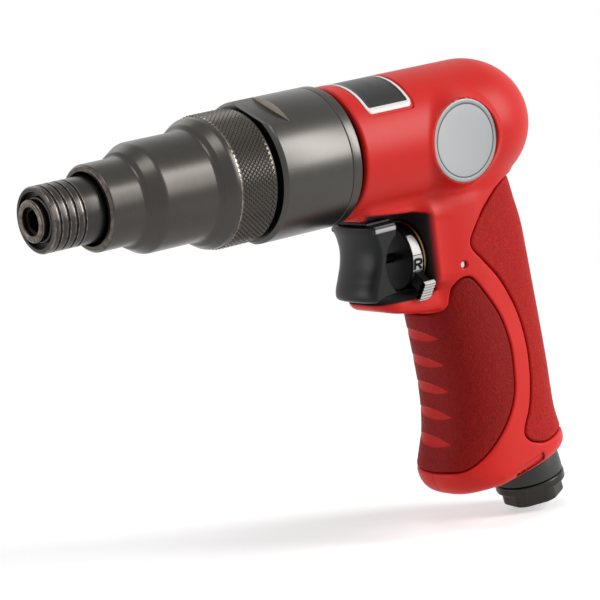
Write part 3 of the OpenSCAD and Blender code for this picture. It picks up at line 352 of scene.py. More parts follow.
def plain_metal(name, colour, rough, grain=0.6, metallic=1.0):
    """Metal with an even, fine grain."""
    f = Finish(name)
    spots = f.noise(grain, 3.0)
    shade = f.mix(spots, darker(colour, 0.82), colour)
    return f.done(shade, rough + spots * 0.08, metallic, normal=f.bump(spots, 0.01, 0.3))


def moulded(name, colour, rough, grain=0.7, depth=0.02, shine=0.5):
    """Plastic, rubber, felt or paint with an even grain."""
    f = Finish(name)
    spots = f.noise(grain, 3.0)
    shade = f.mix(spots * 0.5, colour, darker(colour, 0.75))
    return f.done(shade, rough + spots * 0.08, normal=f.bump(spots, depth, 0.5), Specular_IOR_Level=shine)


def brass_lip_and_painted_shade():
    """Brass that is bare on the bushing's lip, with painted shade that turns it black behind the lip."""
    f = Finish("valve_brass")
    x, y, z = f.axes()
    spots = f.noise(0.6, 3.0)
    # Painted shade: the brass turns black behind the lip, where shadow falls in the pocket.
    behind = ((x - 129.72) / 0.1).clamp()
    shade = f.mix(spots, (0.24, 0.15, 0.045), (0.30, 0.19, 0.06))
    shade = f.mix(behind, shade, (0.01, 0.009, 0.008))
    return f.done(shade, 0.35 + spots * 0.1, 1.0, normal=f.bump(spots, 0.01, 0.3))


def ribbed_grey():
    """Pale plastic with painted shade in the hollows between its fine ribs."""
    f = Finish("tab_grey")
    x, y, z = f.axes()
    along, across = leaning(y, z, (0, -VALVE_DROP), TAB_TURN)
    # Painted shade darkens the hollows between the ribs.
    hollow = 0.5 - f.math("COSINE", across * (2 * math.pi / RIB_PITCH)) * 0.5
    shade = f.mix(hollow ** 2, (0.6, 0.6, 0.58), (0.24, 0.24, 0.23))
    return f.done(shade, 0.35 + hollow * 0.15)


def trigger_gloss():
    """Smooth black plastic, with a painted highlight along the trigger's two side ledges."""
    f = Finish("trigger_black")
    x, y, z = f.axes()
    spots = f.noise(0.9, 3.0)
    start, end = LEDGE_X - LEDGE_HALF + 0.2, LEDGE_X + LEDGE_HALF - 0.2
    # Painted highlight: a pale bar along each side ledge.
    painted_ledge_highlight = (1.8 - abs(z - LEDGE_Z + 0.05) / 0.5).clamp() * ((abs(y) - TRIGGER_HALF + 0.1) / 0.3).clamp()
    painted_ledge_highlight = painted_ledge_highlight * ((x - start) / 0.5).clamp() * ((end - x) / 0.5).clamp()
    shade = f.mix(spots * 0.4, (0.008, 0.0085, 0.0095), (0.0062, 0.0066, 0.0074))
    shade = f.mix(painted_ledge_highlight, shade, (0.42, 0.42, 0.43))
    return f.done(shade, 0.3 + spots * 0.06, normal=f.bump(spots, 0.01, 0.4), Specular_IOR_Level=0.2)


def badge_metal():
    """Brushed disc metal: streaks run up the badge, painted shade darkens it towards the back, and a painted
    shadow lies along its groove.
    """
    f = Finish("badge_metal")
    streaks = f.streaks(1 / 9, 1 / 9, 2, 3.0)
    x, y, z = f.axes()
    along, up = leaning(y, z, (0, BADGE_DROP), BADGE_LEAN)
    out = ((x - BADGE_X) ** 2 + up ** 2) ** 0.5
    shade = f.mix(streaks, (0.33, 0.335, 0.34), (0.41, 0.415, 0.42))
    # Painted shade: darker towards the back.
    shade = f.mix(((x - BADGE_X + 13) / 26).clamp() * 0.6, shade, (0.24, 0.243, 0.247))
    shade = f.mix(((out - BADGE_LINE) / 0.1).clamp() * 0.4, shade, (0.2, 0.2, 0.204))
    # Painted shadow along the groove inside the rim.
    shade = f.mix((1.5 - abs(out - BADGE_LINE) / 0.2).clamp() * 0.85, shade, (0.03, 0.03, 0.032))
    return f.done(shade, 0.42 + streaks * 0.1, 0.35, normal=f.bump(streaks, 0.01, 0.4))


# Meshes

def finished(mesh, smooth=35):
    """The mesh welded, its faces turned outwards, and smooth up to an angle in degrees."""
    made = bmesh.new()
    made.from_mesh(mesh)
    bmesh.ops.remove_doubles(made, verts=made.verts, dist=1e-7)
    bmesh.ops.recalc_face_normals(made, faces=made.faces)
    made.to_mesh(mesh)
    made.free()
    if smooth:
        mesh.shade_smooth()
        mesh.set_sharp_from_angle(angle=math.radians(smooth))
    return mesh


def mesh_of(name, points, faces, smooth=35):
    """A mesh from points in millimetres."""
    mesh = bpy.data.meshes.new(name)
    mesh.from_pydata((np.asarray(points, float) * MM).tolist(), [], faces)
    return finished(mesh, smooth)


def placed(name, data):
    """An object in the scene."""
    obj = bpy.data.objects.new(name, data)
    bpy.context.scene.collection.objects.link(obj)
    return obj


def dress(mesh, material):
    """Gives a mesh one material."""
    mesh.materials.clear()
    mesh.materials.append(material)


def show(name, mesh, body, material, slot, *nodes):
    """A piece that rides on a body and stands for the CAD nodes that it replaces."""
    obj = placed(name, mesh)
    dress(mesh, material)
    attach(obj, body)
    if nodes:
        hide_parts(*nodes)
    return obj


def pick_faces(mesh, material, chosen):
    """Gives another material to the faces that are chosen by middle, in millimetres, and normal."""
    mesh.materials.append(material)
    for face in mesh.polygons:
        if chosen(*(face.center / MM), face.normal):
            face.material_index = 1


def eased(corners, steps=4):
    """A closed outline with its corners rounded; a corner's third number is its radius."""
    outline = []
    count = len(corners)
    for i, corner in enumerate(corners):
        here = np.array(corner[:2], float)
        radius = corner[2] if len(corner) > 2 else 0
        before = np.array(corners[i - 1][:2], float) - here
        after = np.array(corners[(i + 1) % count][:2], float) - here
        room = min(np.linalg.norm(before), np.linalg.norm(after)) * 0.48
        if not radius or room < 1e-6:
            outline.append(here)
            continue
        before /= np.linalg.norm(before)
        after /= np.linalg.norm(after)
        turn = math.acos(max(-1, min(1, -before @ after)))
        reach = min(radius * math.tan(turn / 2), room)
        for k in range(steps + 1):
            t = k / steps
            outline.append(here + before * reach * (1 - t) ** 2 + after * reach * t ** 2)
    return np.array(outline)


def lathe(name, corners, segments=128):
    """A closed outline of stations and radii turned about the barrel axis."""
    loop = eased(corners)
    n = len(loop)
    angle = np.linspace(0, 2 * math.pi, segments, endpoint=False)
    x = np.tile(loop[:, 0], segments)
    y = np.outer(np.sin(angle), loop[:, 1]).ravel()
    z = np.outer(np.cos(angle), loop[:, 1]).ravel()
    faces = [(k * n + i, k * n + (i + 1) % n, (k + 1) % segments * n + (i + 1) % n,
              (k + 1) % segments * n + i) for k in range(segments) for i in range(n)]
    return mesh_of(name, np.stack([x, y, z], 1), faces)


def prism(sides, start, end):
    """Points and faces of a prism along the barrel whose outline is a list of [y, z]."""
    n = len(sides)
    points = [(start, y, z) for y, z in sides] + [(end, y, z) for y, z in sides]
    faces = [tuple(range(n)), tuple(range(2 * n - 1, n - 1, -1))]
    faces += [(i, i + n, (i + 1) % n + n, (i + 1) % n) for i in range(n)]
    return points, faces


def cut(mesh, tools):
    """A mesh with others cut from it."""
    whole = placed("whole", mesh)
    others = [placed("tool", tool) for tool in tools]
    for other in others:
        modifier = whole.modifiers.new("cut", "BOOLEAN")
        modifier.operation = "DIFFERENCE"
        modifier.solver = "EXACT"
        modifier.object = other
    graph = bpy.context.evaluated_depsgraph_get()
    result = bpy.data.meshes.new_from_object(whole.evaluated_get(graph))
    for obj in others + [whole]:
        bpy.data.objects.remove(obj)
    return finished(result)


def track(points):
    """A smooth curve of a value against a coordinate, through the given pairs."""
    at, value = np.array(sorted(points), float).T
    slope = np.gradient(value, at)
    fine = np.linspace(at[0], at[-1], 900)
    i = np.clip(np.searchsorted(at, fine) - 1, 0, len(at) - 2)
    h = at[i + 1] - at[i]
    t = (fine - at[i]) / h
    curve = ((2 * t ** 3 - 3 * t ** 2 + 1) * value[i] + (t ** 3 - 2 * t ** 2 + t) * h * slope[i]
             + (3 * t ** 2 - 2 * t ** 3) * value[i + 1] + (t ** 3 - t ** 2) * h * slope[i + 1])
    return lambda where: np.interp(where, fine, curve)


def soft_max(a, b, r):
    h = np.maximum(r - np.abs(a - b), 0) / r
    return np.maximum(a, b) + h * h * r * 0.25


def soft_min(a, b, r):
    return -soft_max(-a, -b, r)


def plate(x, y, low, high, radius):
    """Distance to a rectangle with rounded corners."""
    qx = np.abs(x - (low[0] + high[0]) / 2) - (high[0] - low[0]) / 2 + radius
    qy = np.abs(y - (low[1] + high[1]) / 2) - (high[1] - low[1]) / 2 + radius
    return np.hypot(np.maximum(qx, 0), np.maximum(qy, 0)) + np.minimum(np.maximum(qx, qy), 0) - radius


class Outline:
    """Distances to a closed outline in side view, looked up in a table."""

    def __init__(self, places, step=0.3):
        places = np.array(places, float)
        smooth = []
        n = len(places)
        for i in range(n):
            a, b, c, d = (places[(i + k) % n] for k in (-1, 0, 1, 2))
            for t in np.arange(0, 1, 0.2):
                smooth.append(0.5 * (2 * b + (c - a) * t + (2 * a - 5 * b + 4 * c - d) * t ** 2
                                     + (3 * b - a - 3 * c + d) * t ** 3))
        line = np.array(smooth)
        self.low = line.min(0) - 6
        self.step = step
        size = np.ceil((line.max(0) + 6 - self.low) / step).astype(int) + 2
        px, pz = np.meshgrid(*(self.low[k] + step * np.arange(size[k]) for k in (0, 1)), indexing="ij")
        best = np.full(px.shape, 1e9)
        inside = np.zeros(px.shape, bool)
        for (ax, az), (bx, bz) in zip(line, np.roll(line, -1, 0)):
            ex, ez = bx - ax, bz - az
            t = np.clip(((px - ax) * ex + (pz - az) * ez) / (ex * ex + ez * ez + 1e-12), 0, 1)
            best = np.minimum(best, (px - ax - t * ex) ** 2 + (pz - az - t * ez) ** 2)
            if az != bz:
                crosses = ((az > pz) != (bz > pz)) & (px < (bx - ax) * (pz - az) / (bz - az) + ax)
                inside ^= crosses
        self.table = np.sqrt(best) * np.where(inside, -1, 1)

    def __call__(self, x, z):
        i = np.clip((x - self.low[0]) / self.step, 0, self.table.shape[0] - 2.001)
        k = np.clip((z - self.low[1]) / self.step, 0, self.table.shape[1] - 2.001)
        i0, k0 = i.astype(int), k.astype(int)
        u, v = i - i0, k - k0
        t = self.table
        return ((t[i0, k0] * (1 - u) + t[i0 + 1, k0] * u) * (1 - v)
                + (t[i0, k0 + 1] * (1 - u) + t[i0 + 1, k0 + 1] * u) * v)


def gradient(field, points, reach=0.03):
    """The slope of a field at each point."""
    x, y, z = points.T
    return np.stack([field(x + reach, y, z) - field(x - reach, y, z),
                     field(x, y + reach, z) - field(x, y - reach, z),
                     field(x, y, z + reach) - field(x, y, z - reach)], 1) / (2 * reach)


def sampled(field, low, high, cell, block=4):
    """A field on a grid, exact near the surface and coarse elsewhere."""
    count = [int(math.ceil((b - a) / (block * cell))) for a, b in zip(low, high)]
    axes = [a + cell * np.arange(block * n) for a, n in zip(low, count)]
    middles = [a + cell * (block * np.arange(n) + 1.5) for a, n in zip(low, count)]
    rough = field(*np.meshgrid(*middles, indexing="ij"))
    values = rough.repeat(block, 0).repeat(block, 1).repeat(block, 2)
    near = np.nonzero(np.abs(values) < 6 * cell)
    values[near] = field(*(axis[i] for axis, i in zip(axes, near)))
    return values


def skin(name, field, low, high, cell):
    """The smooth surface where a field of distances in millimetres crosses zero."""
    values = sampled(field, low, high, cell)
    inside = values < 0
    unit = np.eye(3, dtype=int)

    # One point in each cell that the surface passes through, at the mean of its crossings
    size = [n - 1 for n in values.shape]
    total = np.zeros(size, np.int8)
    for i, j, k in np.ndindex(2, 2, 2):
        total += inside[i:size[0] + i, j:size[1] + j, k:size[2] + k]
    cells = np.array(np.nonzero((total > 0) & (total < 8))).T
    number = np.full(size, -1)
    number[tuple(cells.T)] = np.arange(len(cells))
    sums = np.zeros((len(cells), 3))
    hits = np.zeros(len(cells))
    for axis, i, j in np.ndindex(3, 2, 2):
        start = np.insert([i, j], axis, 0)
        a = values[tuple((cells + start).T)]
        b = values[tuple((cells + start + unit[axis]).T)]
        crossed = (a < 0) != (b < 0)
        t = np.where(crossed, a / np.where(a == b, 1, a - b), 0)
        sums += (start + t[:, None] * unit[axis]) * crossed[:, None]
        hits += crossed
    points = (sums / hits[:, None] + cells) * cell + np.array(low)

    # A face across each edge of the grid whose ends lie on different sides
    quads = []
    for axis in range(3):
        along, across = unit[(axis + 1) % 3], unit[(axis + 2) % 3]
        first = [slice(1, n - 1) for n in values.shape]
        second = list(first)
        first[axis] = slice(0, values.shape[axis] - 1)
        second[axis] = slice(1, values.shape[axis])
        change = inside[tuple(first)].astype(np.int8) - inside[tuple(second)]
        for sign in (1, -1):
            at = np.array(np.nonzero(change == sign)).T
            corners = [at, at + along, at + along + across, at + across]
            quads.append(np.stack([number[tuple(corner.T)] for corner in corners[::sign]], 1))
    quads = np.concatenate(quads)

    # Three small moves onto the true surface, whose slope gives the normals
    for move_on in range(3):
        slope = gradient(field, points)
        steep = np.maximum((slope ** 2).sum(1), 0.05)
        move = np.clip(field(*points.T) / steep, -0.5 * cell, 0.5 * cell)
        points -= slope * move[:, None]
    slope = gradient(field, points)
    mesh = bpy.data.meshes.new(name)
    mesh.from_pydata((points * MM).tolist(), [], quads.tolist())
    mesh.shade_smooth()
    normals = slope / np.linalg.norm(slope, axis=1)[:, None]
    mesh.normals_split_custom_set_from_vertices(normals.tolist())
    return mesh


# The red housing and its grips

# The handle's sections are rounded squares: a power of 2 would make them ellipses
POWER = 2.6

# The handle's front and back edges and its half width by height, and the shelf's underside by station
front_edge = track([(-8, 130.5), (-18, 130.5), (-24, 130.5), (-32, 130.6), (-41, 130.9), (-51, 132.0),
                    (-60, 133.2), (-69, 134.4), (-78, 135.2), (-86, 135.2), (-93, 134.2), (-98.5, 132.2),
                    (-103, 130.6), (-106.5, 130.2), (-114, 130.0)])
back_edge = track([(-8, 166.2), (-12, 167.2), (-18, 169.4), (-24, 170.8), (-31, 172.5), (-40, 173.5),
                   (-50, 174.3), (-59, 175.0), (-68, 175.5), (-77, 176.0), (-84.5, 176.3), (-90.5, 176.7),
                   (-95, 177.7), (-98.5, 178.9), (-101, 179.5), (-106, 179.6), (-114, 179.6)])
half_width = track([(-8, 14.1), (-12, 14.2), (-24, 14.6), (-40, 15.0), (-50, 15.2), (-60, 15.5),
                    (-68, 15.9), (-77, 16.2), (-85, 16.4), (-92, 16.6), (-97, 16.8), (-102, 16.9),
                    (-114, 16.9)])
shelf_under = track([(108, -48.0), (112, -48.4), (117, -50.0), (122, -51.0), (126, -51.7), (131, -52.2),
                     (145, -52.4)])

# The two grips' outlines in side view
front_panel = Outline([(118.5, -52.2), (127.7, -52.9), (131.7, -54.0), (133.7, -53.3), (135.0, -51.7),
                       (136.1, -49.3), (137.3, -46.1), (139.3, -44.0), (141.9, -43.5), (144.3, -44.7),
                       (148.3, -50.3), (152.1, -56.9), (154.1, -63.2), (154.9, -70.2), (154.2, -80),
                       (152.2, -86), (148.2, -92), (142.2, -98), (136.2, -102), (132.0, -103), (118, -102.6)])
rear_panel = Outline([(190, -15.2), (170.2, -16.2), (162.6, -17.0), (158.4, -18.8), (155.4, -20.7),
                      (150.2, -25.3), (146.2, -30.2), (144.6, -33.2), (145.2, -35.7), (148.2, -39.3),
                      (153.2, -45.2), (157.2, -52.2), (160.2, -60.2), (161.5, -70), (160.9, -80),
                      (158.9, -88), (156.8, -92), (155.8, -95), (157.0, -97.2), (159.7, -98.7),
                      (165.2, -99.6), (175.2, -97.7), (190, -96.2)])


def barrel(x, y, z):
    """The round barrel with its domed back."""
    across = np.hypot(y, z)
    back = np.maximum(x - BARREL_END, 0) / DOME
    reach = np.hypot(back, across / BARREL_R)
    steep = np.hypot(back / DOME, across / BARREL_R ** 2)
    return soft_max((reach - 1) * reach / np.maximum(steep, 1e-4), HOUSING_START - x, 1.2)


def base_plane(x, z):
    """Distance below the slanted base of the handle."""
    return (INLET[1] + math.tan(TILT) * (x - INLET[0]) - z) * math.cos(TILT)


def handle(x, y, z):
    """The handle's rounded column, its base square to the inlet and its toe well rounded."""
    front, back, half = front_edge(z), back_edge(z), half_width(z)
    deep = (back - front) / 2
    u = np.abs(x - (front + back) / 2) / deep
    v = np.abs(y) / half
    reach = np.maximum((u ** POWER + v ** POWER) ** (1 / POWER), 1e-3)
    steep = np.hypot((u / reach) ** (POWER - 1) / deep, (v / reach) ** (POWER - 1) / half)
    side = (reach - 1) / np.maximum(steep, 1e-3)
    toe = 4.5 + 7.5 * np.clip((146 - x) / 14, 0, 1)
    return np.maximum(soft_max(side, base_plane(x, z), toe), z + 8)


def shelf(x, y, z):
    """The shelf under the trigger."""
    plan = plate(x, y, (111.4, -10.6), (146, 10.6), 7.5)
    return soft_max(soft_max(plan, z - SHELF_TOP, 0.9), shelf_under(x) - z, 2.6)


def cheeks(x, y, z):
    """The square shoulders of the handle on each side of the trigger's pocket."""
    block = plate(x, y, (POCKET_BACK, -13.6), (150, 13.6), 3.0)
    return soft_max(block, np.abs(z + 32.0) - 12.5, 4.0)


def saddle(x, y, z):
    """The flat underside of the barrel over the trigger."""
    plan = plate(x, y, (108.2, -11), (140, 11), 3)
    return soft_max(np.maximum(plan, z + 8), ROOF - z, 0.8)


def tube(x, y, z, r, start, end, drop):
    """A cylinder along the barrel, some way below its axis."""
    return np.maximum(np.hypot(y, z + drop) - r, np.maximum(start - x, x - end))


def panel_space(x, y, z, outline):
    """The recess that a grip lies in."""
    return np.maximum(np.maximum(outline(x, z) - 0.2, -(handle(x, y, z) + 2.2)), -barrel(x, y, z))


def pocket(x, y, z):
    """The trigger's pocket, whose roof is higher at its sides."""
    roof = ROOF + (ROOF_SIDES - ROOF_SLOPE * (x - ROOF_AT)) * np.clip((np.abs(y) - 8.0) / 1.5, 0, 1)
    plan = plate(x, y, (107, -30), (POCKET_BACK, 30), 2.0)
    return np.maximum(plan, np.maximum(z - roof, SHELF_TOP - z))


def label_seat(x, y, z, gap=0.7):
    """The shallow recess on top of the barrel for the label."""
    long, half = LABEL_LONG + gap, LABEL_HALF + gap
    plan = plate(x, y, (LABEL_X - long, -half), (LABEL_X + long, half), 2.0)
    return np.maximum(np.maximum(plan, 19.75 - np.hypot(y, z)), -z)


def badge_pad(x, y, z):
    """The round pad on the near side of the barrel, and the flat seat sunk in it for the badge."""
    inward, up = leaning(y, z, (0, BADGE_DROP), BADGE_LEAN)
    out = np.hypot(x - BADGE_X, up)
    skirt = (out - BADGE_R - 0.5 - 0.3 * (BADGE_SEAT + inward)) * 0.96
    pad = soft_max(np.maximum(skirt, 12.0 + inward), -inward - BADGE_SEAT, 0.4)
    return pad, np.maximum(out - BADGE_R - 0.08, BADGE_SEAT - 0.3 + inward)


def inlet_bore(x, y, z):
    """The bore for the inlet's spigot, and the air passage above it."""
    behind, up = leaning(x, z, INLET, TILT)
    out = np.hypot(behind, y)
    return np.minimum(np.maximum(out - INLET_SPIGOT_R - FIT, np.abs(up) - 12.3),
                      np.maximum(out - PASSAGE_R, np.abs(up - 36) - 36))


def plaque(x, y, z):
    """The shallow box sunk in the near side of the handle's base."""
    along, across = leaning(x, z, PLAQUE, PLAQUE_TURN)
    plan = plate(along, across, [-h for h in PLAQUE_HALF], PLAQUE_HALF, 0.7)
    return np.maximum(np.maximum(plan, -(handle(x, y, z) + 0.55)), y + 4)


# Each bore's radius, first and last station, and drop below the barrel's axis
BORES = ((SPIGOT_R + FIT, 100, 111, 0), (MOTOR_R + FIT, 100, 148.9, 0),
         (BUSHING_R + FIT, 128, 139.5, VALVE_DROP), (SEAT_R + FIT, 135, 160, VALVE_DROP))


def housing(x, y, z):
    """The red housing: barrel, handle, shelf and pad, with all that is cut from them."""
    body = soft_min(barrel(x, y, z), saddle(x, y, z), 2.2)
    grasp = soft_min(handle(x, y, z), cheeks(x, y, z), 3.0)
    body = soft_min(body, grasp, 4.0)
    for outline in (front_panel, rear_panel):
        body = soft_max(body, -panel_space(x, y, z, outline), 0.7)
    body = soft_min(body, shelf(x, y, z), 2.0)
    body = soft_max(body, -pocket(x, y, z), 1.0)
    body = soft_max(body, -label_seat(x, y, z), 0.35)
    pad, seat = badge_pad(x, y, z)
    body = soft_max(soft_min(body, pad, 2.5), -seat, 0.3)
    for bore in BORES:
        body = soft_max(body, -tube(x, y, z, *bore), 0.5)
    body = soft_max(body, -inlet_bore(x, y, z), 0.5)
    pin = np.hypot(x - PIN_X, z - PIN_Z) - 1.15
    body = soft_max(body, -np.maximum(pin, 8 - np.abs(y)), 0.4)
    return soft_max(body, -plaque(x, y, z), 0.3)


def grip(outline):
    """A grip's field: a shell of the handle inside an outline, hollowed in front for the fingers."""
    def field(x, y, z):
        form = handle(x, y, z)
        if outline is front_panel:
            along = np.clip(np.abs(y - FINGER_SHIFT) / FINGER_HALF, 0, 1)
            reach = (1 - along ** 2.2) ** 0.9 * FINGER_H
            for top in FINGER_TOPS:
                band = np.clip((reach - np.abs(z - top - y * FINGER_DROOP)) / 0.7, 0, 1)
                form = form + 0.14 * band * band * (3 - 2 * band) * np.clip(FINGER_BACK - x, 0, 1)
        body = soft_max(form, outline(x, z) + 0.2, 0.9)
        return np.maximum(np.maximum(body, -(form + 2.1)), 0.3 - barrel(x, y, z))
    return field


# Trigger and knob

# The trigger's front by height, down its middle and at its edges, and its underside by station
trigger_nose = track([(-22.0, 109.3), (-24.5, 109.8), (-27, 110.6), (-31, 111.1), (-35, 110.6), (-39, 109.0),
                      (-43, 107.6), (-45, 107.8), (-46, 108.2)])
trigger_ridge = track([(-22.0, 111.9), (-24.5, 112.2), (-27, 113.0), (-31, 113.6), (-35, 113.0), (-39, 111.6),
                       (-43, 110.2), (-46, 110.2)])
trigger_chin = track([(100, -45.6), (108, -45.6), (110, -45.5), (114, -44.6), (122, -44.3)])


def trigger(x, y, z):
    """The hollow, waisted shell, with a ledge on each side, a guide on top and a boss for the stem."""
    bend = np.arcsin(np.clip(np.abs(y) / TRIGGER_HALF, 0, 1) * math.sin(TRIGGER_BEND))
    share = (1 - np.cos(bend)) / (1 - math.cos(TRIGGER_BEND))
    nose = trigger_nose(z)
    face = (nose + (trigger_ridge(z) - nose) * share - x) * 0.85
    body = soft_max(face, np.abs(y) - TRIGGER_HALF, 0.6)
    body = soft_max(body, z - TRIGGER_TOP, 0.9)
    body = soft_max(body, trigger_chin(x) - z, 1.6)
    body = soft_max(body, x - TRIGGER_BACK, 0.5)
    hollow = np.maximum(np.maximum(115.2 - x, np.abs(y) - 8.0), np.maximum(z + 24.3, -42.7 - z))
    body = soft_max(body, -hollow, 0.4)
    body = soft_max(body, 11 - np.hypot(x - 126.2, z + 36), 0.5)
    ledge = np.maximum(np.abs(x - LEDGE_X) - LEDGE_HALF, np.abs(z - LEDGE_Z) - 0.7)
    ledge = soft_max(ledge, np.abs(np.abs(y) - 9.4) - 0.95, 0.5)
    body = soft_min(body, ledge, 0.5)
    guide = np.maximum(np.abs(x - 115.8) - 4.5, np.maximum(np.abs(y) - 7.4, np.abs(z + 22.9) - 1.4))
    boss = tube(x, y, z, 3.2, 113, 118.6, VALVE_DROP)
    body = np.minimum(np.minimum(body, guide), boss)
    return np.maximum(body, -tube(x, y, z, 1.42, 113.7, 130, VALVE_DROP))


def strip(name, radius, polygons, thick):
    """Thin plates bent round the knob's rim, each an outline of [angle, station] corners."""
    points, faces = [], []
    for polygon in polygons:
        base = len(points)
        n = len(polygon)
        for lift in (0, thick):
            for angle, station in polygon:
                a = math.radians(angle)
                points.append((station, (radius + lift) * math.cos(a),
                               (radius + lift) * math.sin(a) - VALVE_DROP))
        for i in range(n // 2 - 1):
            a, b, c, d = i, i + 1, n - 2 - i, n - 1 - i
            faces.append((base + n + a, base + n + b, base + n + c, base + n + d))
            faces.append((base + d, base + c, base + b, base + a))
        for i in range(n):
            j = (i + 1) % n
            faces.append((base + i, base + j, base + n + j, base + n + i))
    return mesh_of(name, points, faces, 25)


def ribbon(places, half):
    """The outline of a strip of even width along a list of [angle, station] places."""
    scale = np.array([math.degrees(1 / RIM_R), 1.0])
    flat = np.array(places) / scale
    left, right = [], []
    for i in range(len(flat)):
        ahead = flat[min(i + 1, len(flat) - 1)] - flat[max(i - 1, 0)]
        ahead /= np.linalg.norm(ahead)
        side = np.array([-ahead[1], ahead[0]]) * half
        left.append((flat[i] + side) * scale)
        right.append((flat[i] - side) * scale)
    return [tuple(p) for p in left] + [tuple(p) for p in right[::-1]]


def reverse_knob(x, y, z):
    """The reversing disc with its two ribbed thumb tabs."""
    out = np.hypot(y, z + VALVE_DROP)
    disc = soft_max(out - KNOB_R, np.abs(x - KNOB_AT) - 1.9, 0.6)
    along, across = leaning(y, z, (0, -VALVE_DROP), TAB_TURN)
    along = np.abs(along)
    arm = np.maximum(np.maximum(np.abs(x - KNOB_AT) - 1.2, np.abs(across) - 2.3), along - 16.6)
    ribs = 0.13 * np.cos(across * 2 * math.pi / RIB_PITCH)
    end = soft_max(soft_max(np.abs(x - 126.1) - 2.5, np.abs(across) - 3.4, 0.9),
                   np.maximum(along - 17.04 - ribs, 15.3 - along), 0.5)
    body = soft_min(disc, soft_min(arm, end, 0.4), 0.8)
    return np.maximum(body, 1.43 - out)


def inlet_fitting(x, y, z):
    """The flanged hexagon of the air inlet, with its spigot and its female thread."""
    behind, up = leaning(x, z, INLET, TILT)
    out = np.hypot(behind, y)
    angle = np.arctan2(y, behind)
    flange = soft_max(out - INLET_R, np.abs(up + 9.05) - 1.45, 0.7)
    corner = np.abs((angle - HEX_TURN) % (math.pi / 3) - math.pi / 6)
    nut = soft_max(out * np.cos(corner) - HEX_HALF, out - HEX_CORNER, 0.3)
    nut = soft_max(nut, np.abs(up + 12.1) - 2.7, 0.6)
    spigot = np.maximum(out - INLET_SPIGOT_R, np.abs(up - 0.75) - 11.25)
    body = np.minimum(soft_min(flange, nut, 0.4), spigot)
    turn = (up / THREAD_PITCH - angle / (2 * math.pi)) % 1
    ridge = THREAD_DEPTH * (1 - 2 * np.abs(turn - 0.5)) * np.clip((up + 14.6) * 2, 0, 1)
    bore = np.maximum(out - THREAD_R + ridge, up + 1.8)
    body = soft_max(body, -np.maximum(bore, -15.6 - up), 0.12)
    mouth = np.maximum(out - 6.6, -15.6 - up) + up + 14.3
    body = soft_max(body, -mouth * 0.7, 0.2)
    return np.maximum(body, -np.maximum(out - PASSAGE_R, -2.0 - up))


# Pieces that are turned, cut or bent

def nose_body():
    """The stepped nose. Its stations and radii are followed by the corner's rounding."""
    outer = [(NOSE_START, 10.67, 0.1), (NOSE_START, 11.75, 0.5), (19.9, 12.57, 0.7), (30.6, 12.57, 1.4),
             (31.6, 13.9, 1.6), (35.4, 16.07, 3.4), (53.6, 16.07, 1.6), (54.9, 17.6, 1.4), (57.5, 19.15, 2.2),
             (58.9, KNURL_ROOT, 0.15), (58.9, 19.1, 0.1), (71.5, 19.1, 0.1), (71.5, 19.3, 0.1),
             (NOSE_END, 19.3, 0.15)]
    inner = [(NOSE_END, 16.5, 0.1), (60.0, 16.5), (60.0, 13.2), (43.0, 13.2), (43.0, 10.67)]
    return lathe("nose_body", outer + inner, 160)


def knurled_band():
    """A ring of small pyramids, each split along its grooves, closed inside the nose."""
    around, steps = 168, 16
    low, high, inner = 58.95, 71.45, 18.9
    rings = []
    for i in range(steps + 1):
        edge = min(i, steps - i) == 0
        radii = [KNURL_ROOT if edge or (i + k) % 2 else KNURL_R for k in range(around)]
        rings.append((low + (high - low) * i / steps, radii))
    rings = [(low, [inner] * around)] + rings + [(high, [inner] * around)]
    points = []
    for x, radii in rings:
        for k, r in enumerate(radii):
            a = 2 * math.pi * k / around
            points.append((x, r * math.sin(a), r * math.cos(a)))
    faces = []
    n = len(rings)
    for i in range(n):
        for k in range(around):
            m, j = (k + 1) % around, (i + 1) % n
            a, b, c, d = i * around + k, i * around + m, j * around + m, j * around + k
            if not 1 <= i < n - 2:
                faces.append((a, b, c, d))
            elif (i - 1 + k) % 2:
                faces += [(a, b, c), (a, c, d)]
            else:
                faces += [(b, c, d), (b, d, a)]
    return mesh_of("knurled_band", points, faces, smooth=0)


def chuck_sleeve():
    """The ringed sleeve that slides on the spindle."""
    outline = [(SLEEVE_START, 8.1, 0.15), (SLEEVE_START, 9.0, 0.35), (2.35, SLEEVE_R, 0.35)]
    for at in SLEEVE_GROOVES:
        outline += [(at - 0.4, SLEEVE_R, 0.12), (at - 0.3, 9.08, 0.08), (at + 0.3, 9.08, 0.08),
                    (at + 0.4, SLEEVE_R, 0.12)]
    outline += [(21.5, SLEEVE_R, 0.35), (SLEEVE_END, 9.05, 0.35), (SLEEVE_END, 7.9, 0.15), (10, 7.9),
                (10, 6.13), (3.9, 6.13), (3.9, 8.1)]
    return lathe("chuck_sleeve_turned", outline, 160)


def hexagon(half):
    """A hexagon's corners, from half its width across flats."""
    corner = half / math.cos(math.pi / 6)
    return [(corner * math.sin(math.pi / 3 * k), corner * math.cos(math.pi / 3 * k)) for k in range(6)]


def ball_mesh(name, centre, r):
    made = bmesh.new()
    bmesh.ops.create_uvsphere(made, u_segments=40, v_segments=24, radius=r * MM,
                              matrix=Matrix.Translation(Vector(centre) * MM))
    mesh = bpy.data.meshes.new(name)
    made.to_mesh(mesh)
    made.free()
    return mesh


